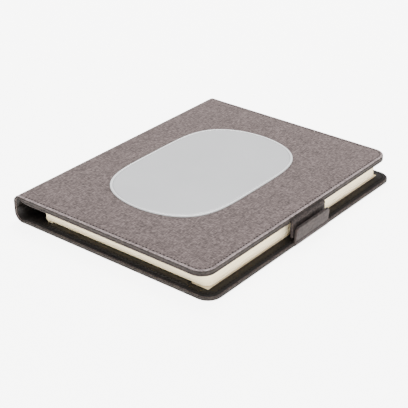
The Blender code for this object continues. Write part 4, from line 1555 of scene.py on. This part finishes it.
@dataclass
class Tab:
    """A closing tab: a cloth pouch round its steel piece, with a hinge strip to its cover."""

    side: TabSide
    places: Frame
    finishes: FinishSet
    rounding: float = 0.9 * MM
    corner: float = 3.2 * MM

    def __post_init__(self) -> None:
        """Read the tab's place, lean and hinge."""
        name = self.side.value
        self.node = f"{name}_tab_fabric"
        self.low, self.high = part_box(self.node)
        joint = next(j for j in frame["joints"] if j["name"] == f"{name}_tab_fold")
        self.axis = Vector(joint["pos_m"])
        self.lean = math.radians(5) if self.side is TabSide.BACK else 0.0
        self.thickness = 2.2 * MM if self.side is TabSide.BACK else 2.1 * MM

    def outline(self, inset: float) -> list[Point2]:
        """The tab seen from the fore-edge, as (y, reach from its root) pairs."""
        half = (self.high.y - self.low.y) / 2 - inset
        middle = (self.high.y + self.low.y) / 2
        reach = self.reach() - inset
        root = inset
        radius = max(self.corner - inset, 0.6 * MM)
        points = [(middle - half, root), (middle + half, root)]
        points += arc((middle + half - radius, reach - radius), radius, 0, 90, 8)
        points += arc((middle - half + radius, reach - radius), radius, 90, 180, 8)
        return self.resample(points, 96)

    @staticmethod
    def resample(points: list[Point2], count: int) -> list[Point2]:
        """Spread points evenly along a closed outline."""
        closed = np.array(points + points[:1])
        lengths = np.hypot(*np.diff(closed, axis=0).T)
        along = np.concatenate([[0.0], np.cumsum(lengths)])
        wanted = np.linspace(0.0, along[-1], count, endpoint=False)
        return list(zip(np.interp(wanted, along, closed[:, 0]).tolist(),
                        np.interp(wanted, along, closed[:, 1]).tolist()))

    def reach(self) -> float:
        """Length of the tab from its root to its free edge."""
        return (self.high.z - self.low.z) / math.cos(self.lean)

    def place(self, y: float, reach: float, out: float) -> Point3:
        """A point of the tab, from its reach and how far out of its inner face it is."""
        if self.side is TabSide.FRONT:
            return (self.low.x + out, y, self.high.z - reach)
        x = self.axis.x - self.thickness / 2 + out
        z = self.low.z + reach
        rise = z - self.axis.z
        dx = x - self.axis.x
        return (self.axis.x + dx * math.cos(self.lean) + rise * math.sin(self.lean), y,
                self.axis.z - dx * math.sin(self.lean) + rise * math.cos(self.lean))

    def build(self) -> None:
        """Make the pouch and the hinge strip."""
        self.build_pouch()
        self.build_strip()
        LOG.info("%s tab: pouch and hinge strip", self.side.value)

    def build_pouch(self) -> None:
        """A thin pillow with a sewn rim."""
        thick, soft = self.thickness, self.rounding
        half = [(0.0, thick / 2)]
        half += [(soft * (1 - math.cos(a)), thick / 2 + (thick / 2) * math.sin(a))
                 for a in (math.radians(d) for d in (20, 40, 60, 80))]
        half += [(1.6 * MM, thick - 0.02 * MM), (2.1 * MM, thick - 0.16 * MM),
                 (2.6 * MM, thick - 0.04 * MM), (3.6 * MM, thick), (6.0 * MM, thick)]
        section = [(inset, thick - out) for inset, out in reversed(half[1:])] + half
        rings = [[self.place(y, r, out) for y, r in self.outline(inset)]
                 for inset, out in section]
        flat = []
        for inset, out in section:
            flat += [(r + (0.03 if out < thick / 2 else 0.0), y) for y, r in self.outline(inset)]
        mesh = loft(rings, cap_first=True, cap_last=True)
        add_flat_map(mesh, flat)
        # The pouch takes the darker copy of the cover cloth: painted shade.
        piece = link_piece(f"{self.side.value}_tab_pouch", mesh, self.finishes["cloth_tab"],
                           smooth_angle=50)
        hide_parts(self.node)
        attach(piece, f"{self.side.value}_tab")

    def strip_section(self) -> list[Point2]:
        """Section of the hinge strip, from the cover to the tab, as (x, z) pairs."""
        if self.side is TabSide.FRONT:
            edge = self.places.front_high.x
            return [(edge - 6.5 * MM, self.high.z + 0.75 * MM),
                    (edge - 0.1 * MM, self.high.z + 0.75 * MM),
                    (edge + 0.5 * MM, self.high.z + 0.62 * MM),
                    (edge + 1.1 * MM, self.high.z + 0.34 * MM),
                    (edge + 1.7 * MM, self.high.z - 0.05 * MM),
                    (edge + 2.1 * MM, self.high.z - 0.7 * MM),
                    (edge + 2.25 * MM, self.high.z - 1.8 * MM)]
        out = self.place(0.0, 1.2 * MM, self.thickness + 0.05 * MM)
        foot = self.places.back_high.x
        return [(foot - 8.0 * MM, 0.7 * MM), (foot - 1.8 * MM, 0.1 * MM),
                (foot - 0.6 * MM, 0.12 * MM), (foot + 0.15 * MM, 0.55 * MM),
                (foot + 0.62 * MM, 1.3 * MM), (out[0], out[2]),
                (out[0] + 0.12 * MM, out[2] + 1.4 * MM)]

    def build_strip(self) -> None:
        """A strip of the same cloth that bends between the cover and the tab."""
        section = self.strip_section()
        fine = []
        for (x0, z0), (x1, z1) in zip(section, section[1:]):
            fine += [(x0 + (x1 - x0) * s / 3, z0 + (z1 - z0) * s / 3) for s in range(3)]
        fine.append(section[-1])
        inset = 0.3 * MM
        ys = np.linspace(self.low.y + inset, self.high.y - inset, 40)
        rings = [[(x, float(y), z) for y in ys] for x, z in fine]
        mesh = loft(rings, closed=False)
        run = 0.0
        flat = []
        for i, (x, z) in enumerate(fine):
            if i:
                run += math.hypot(x - fine[i - 1][0], z - fine[i - 1][1])
            flat += [(run, float(y)) for y in ys]
        add_flat_map(mesh, flat)
        name = self.side.value
        # The strip takes the darker copy of the cover cloth: painted shade.
        piece = link_piece(f"{name}_tab_hinge_strip", mesh, self.finishes["cloth_tab"],
                           smooth_angle=60)
        solid = piece.modifiers.new("thickness", "SOLIDIFY")
        solid.thickness = 0.35 * MM
        solid.offset = 0
        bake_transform(piece)


@dataclass
class Inlet:
    """The power inlet in the far edge: surround, drawn steel shell and contact tongue."""

    finishes: FinishSet

    def build(self) -> None:
        """Make the inlet's three pieces."""
        self.build_ring("inlet_surround", "socket_surround", "power_socket", "black", 1.2 * MM,
                        0.15 * MM)
        self.build_shell()
        self.build_tongue()
        LOG.info("inlet: surround, shell and tongue")

    def ring(self, middle: Vector, half_x: float, half_z: float, radius: float,
             y: float) -> list[Point3]:
        """A rounded rectangle that faces along y."""
        return [(middle.x + x, y, middle.z + z)
                for x, z in rounded_rectangle(half_x, half_z, radius, 6)]

    def build_ring(self, name: str, node: str, inner_node: str, finish: str, radius: float,
                   gap: float) -> None:
        """A rounded frame round the mouth of another piece.

        Args:
            name: the piece's name.
            node: the CAD node it stands for.
            inner_node: the CAD node that it surrounds.
            finish: its finish.
            radius: its outer corner radius.
            gap: clearance round the inner piece.
        """
        low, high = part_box(node)
        inner_low, inner_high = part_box(inner_node)
        middle = (low + high) / 2
        half = (high - low) / 2
        inner = (inner_high - inner_low) / 2
        hole_x, hole_z = inner.x + gap, inner.z + gap
        chamfer = 0.3 * MM
        hole_radius = min(hole_z, 1.1 * MM)
        rings = [
            self.ring(middle, hole_x, hole_z, hole_radius, low.y),
            self.ring(middle, half.x, half.z, radius, low.y),
            self.ring(middle, half.x, half.z, radius, high.y - chamfer),
            self.ring(middle, half.x - chamfer * 0.4, half.z - chamfer * 0.4, radius,
                      high.y - chamfer * 0.4),
            self.ring(middle, half.x - chamfer, half.z - chamfer, radius, high.y),
            self.ring(middle, hole_x + 0.12 * MM, hole_z + 0.12 * MM, hole_radius, high.y),
            self.ring(middle, hole_x, hole_z, hole_radius, high.y - 0.15 * MM),
            self.ring(middle, hole_x, hole_z, hole_radius, low.y)]
        piece = link_piece(name, loft(rings), self.finishes[finish], smooth_angle=40)
        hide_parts(node)
        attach(piece, "front_cover")

    def build_shell(self) -> None:
        """A thin drawn steel shell with rounded ends and a rolled mouth."""
        low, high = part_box("power_socket")
        middle = (low + high) / 2
        half = (high - low) / 2
        wall = 0.25 * MM
        mouth = high.y - 0.05 * MM
        rings = [
            self.ring(middle, half.x - wall, half.z - wall, half.z - wall, low.y + wall),
            self.ring(middle, half.x - wall, half.z - wall, half.z - wall, mouth - 0.3 * MM),
            self.ring(middle, half.x - wall * 0.7, half.z - wall * 0.7, half.z - wall * 0.7,
                      mouth - 0.06 * MM),
            self.ring(middle, half.x - wall * 0.4, half.z - wall * 0.4, half.z - wall * 0.4, mouth),
            self.ring(middle, half.x, half.z, half.z, mouth - 0.12 * MM),
            self.ring(middle, half.x, half.z, half.z, low.y)]
        mesh = loft(rings, cap_first=True, cap_last=True)
        piece = link_piece("inlet_shell", mesh, self.finishes["steel"], smooth_angle=40)
        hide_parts("power_socket")
        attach(piece, "front_cover")

    def build_tongue(self) -> None:
        """The tongue in the middle of the mouth, with its contact strips."""
        low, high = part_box("socket_tongue")
        middle = (low + high) / 2
        half = (high - low) / 2
        rings = [
            self.ring(middle, half.x, half.z, 0.15 * MM, low.y),
            self.ring(middle, half.x, half.z, 0.15 * MM, high.y - 0.3 * MM),
            self.ring(middle, half.x - 0.15 * MM, half.z - 0.12 * MM, 0.15 * MM, high.y)]
        piece = link_piece("inlet_tongue", loft(rings, cap_first=True, cap_last=True),
                           self.finishes["black"], smooth_angle=40)
        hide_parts("socket_tongue")
        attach(piece, "front_cover")
        strips = []
        count = 8
        for i in range(count):
            x = middle.x + (i - (count - 1) / 2) * 0.5 * MM
            for face in (-1, 1):
                z = middle.z + face * (half.z + 0.02 * MM)
                outline = [(x + dx, y, z + dz)
                           for dx, dz in ((-0.12 * MM, -0.03 * MM), (0.12 * MM, -0.03 * MM),
                                          (0.12 * MM, 0.03 * MM), (-0.12 * MM, 0.03 * MM))
                           for y in (low.y + MM,)]
                strips.append(loft([outline, [(px, high.y - 0.5 * MM, pz)
                                              for px, _, pz in outline]],
                                   cap_first=True, cap_last=True))
        contacts = link_piece("inlet_contacts", joined_mesh(strips), self.finishes["contact"],
                              smooth_angle=30)
        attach(contacts, "front_cover")


@dataclass
class InnerParts:
    """CAD nodes that stay as they are and only take a finish."""

    finishes: FinishSet

    def build(self) -> None:
        """Dress every carried-over CAD node."""
        worn = {
            "board": ["back_cover_board", "front_cover_board"],
            "foam": ["front_cover_padding"],
            "black": ["pad_base", "control_chip", "power_lead"],
            "steel": [*(f"pad_screw_{i}" for i in range(1, 5)), "front_tab_plate",
                      "back_tab_magnet"],
            "ferrite": ["ferrite_disc", "power_choke"],
            "winding": ["charging_coil"],
            "circuit": ["circuit_board"],
        }
        for finish, nodes in worn.items():
            for name in nodes:
                mesh = frame["nodes"][name].data
                mesh.materials.clear()
                mesh.materials.append(self.finishes[finish])
        LOG.info("inner parts: %d nodes", sum(len(nodes) for nodes in worn.values()))


# ---- studio ----------------------------------------------------------------------------------


@dataclass
class Studio:
    """Floor, soft lights and camera."""

    azimuth: float = 38.93
    elevation: float = 28.40
    roll: float = -0.36
    distance: float = 864.6 * MM
    lens: float = 102.86
    target: Point3 = (0.9 * MM, -8.97 * MM, 0.0)

    def build(self) -> None:
        """Set the whole studio up."""
        self.build_camera()
        self.build_floor()
        self.build_lights()
        LOG.info("studio: camera, floor and lights")

    def build_camera(self) -> None:
        """Stand the camera at its place round the folio."""
        turn, rise = math.radians(self.azimuth), math.radians(self.elevation)
        back = Vector((math.sin(turn) * math.cos(rise), -math.cos(turn) * math.cos(rise),
                       math.sin(rise)))
        data = bpy.data.cameras.new("camera")
        data.lens = self.lens
        data.sensor_width = 36.0
        data.clip_start = 0.05
        camera = bpy.data.objects.new("camera", data)
        bpy.context.scene.collection.objects.link(camera)
        camera.location = Vector(self.target) + back * self.distance
        camera.rotation_euler = (-back).to_track_quat("-Z", "Y").to_euler()
        camera.rotation_euler.rotate_axis("Z", math.radians(self.roll))
        bpy.context.scene.camera = camera

    def build_floor(self) -> None:
        """A wide pale sweep just under the folio."""
        size = 40.0
        level = CAD_BOX[0].z - 0.05 * MM
        grid = [[(size * (i / 8 - 0.5), size * (j / 8 - 0.5), level) for i in range(9)]
                for j in range(9)]
        floor = link_piece("studio_floor", loft(grid, closed=False), StudioPaper().build())

    def add_light(self, name: str, place: Point3, size: float, power: float,
                  colour: str = "#FFFFFF") -> None:
        """Hang one square softbox that faces the folio."""
        data = bpy.data.lights.new(name, "AREA")
        data.shape = "SQUARE"
        data.size = size
        data.energy = power
        data.color = linear(colour)[:3]
        lamp = bpy.data.objects.new(name, data)
        bpy.context.scene.collection.objects.link(lamp)
        lamp.location = place
        lamp.rotation_euler = (-Vector(place)).to_track_quat("-Z", "Y").to_euler()

    def build_lights(self) -> None:
        """A bright surround, a high softbox behind, and a weaker one in front."""
        world = bpy.data.worlds.new("studio")
        world.use_nodes = True
        background = world.node_tree.nodes["Background"]
        background.inputs["Color"].default_value = linear("#FFFFFF")
        background.inputs["Strength"].default_value = 1.0
        bpy.context.scene.world = world
        self.add_light("high_softbox", (-0.5, 0.7, 1.2), 0.7, 26.0)
        self.add_light("front_softbox", (0.9, -0.5, 0.7), 0.8, 8.0)


def main() -> None:
    """Build the folio's looks in order."""
    places = Frame()
    Studio().build()
    finishes = FinishSet().build()
    SpineStiffener(places, finishes).build()
    FrontCover(places, finishes).build()
    BackCover(places, finishes).build()
    Pad(finishes).build()
    Notebook(finishes).build()
    Sleeve(finishes).build()
    for side in TabSide:
        Tab(side, places, finishes).build()
    Inlet(finishes).build()
    InnerParts(finishes).build()


if __name__ == "__main__":
    main()
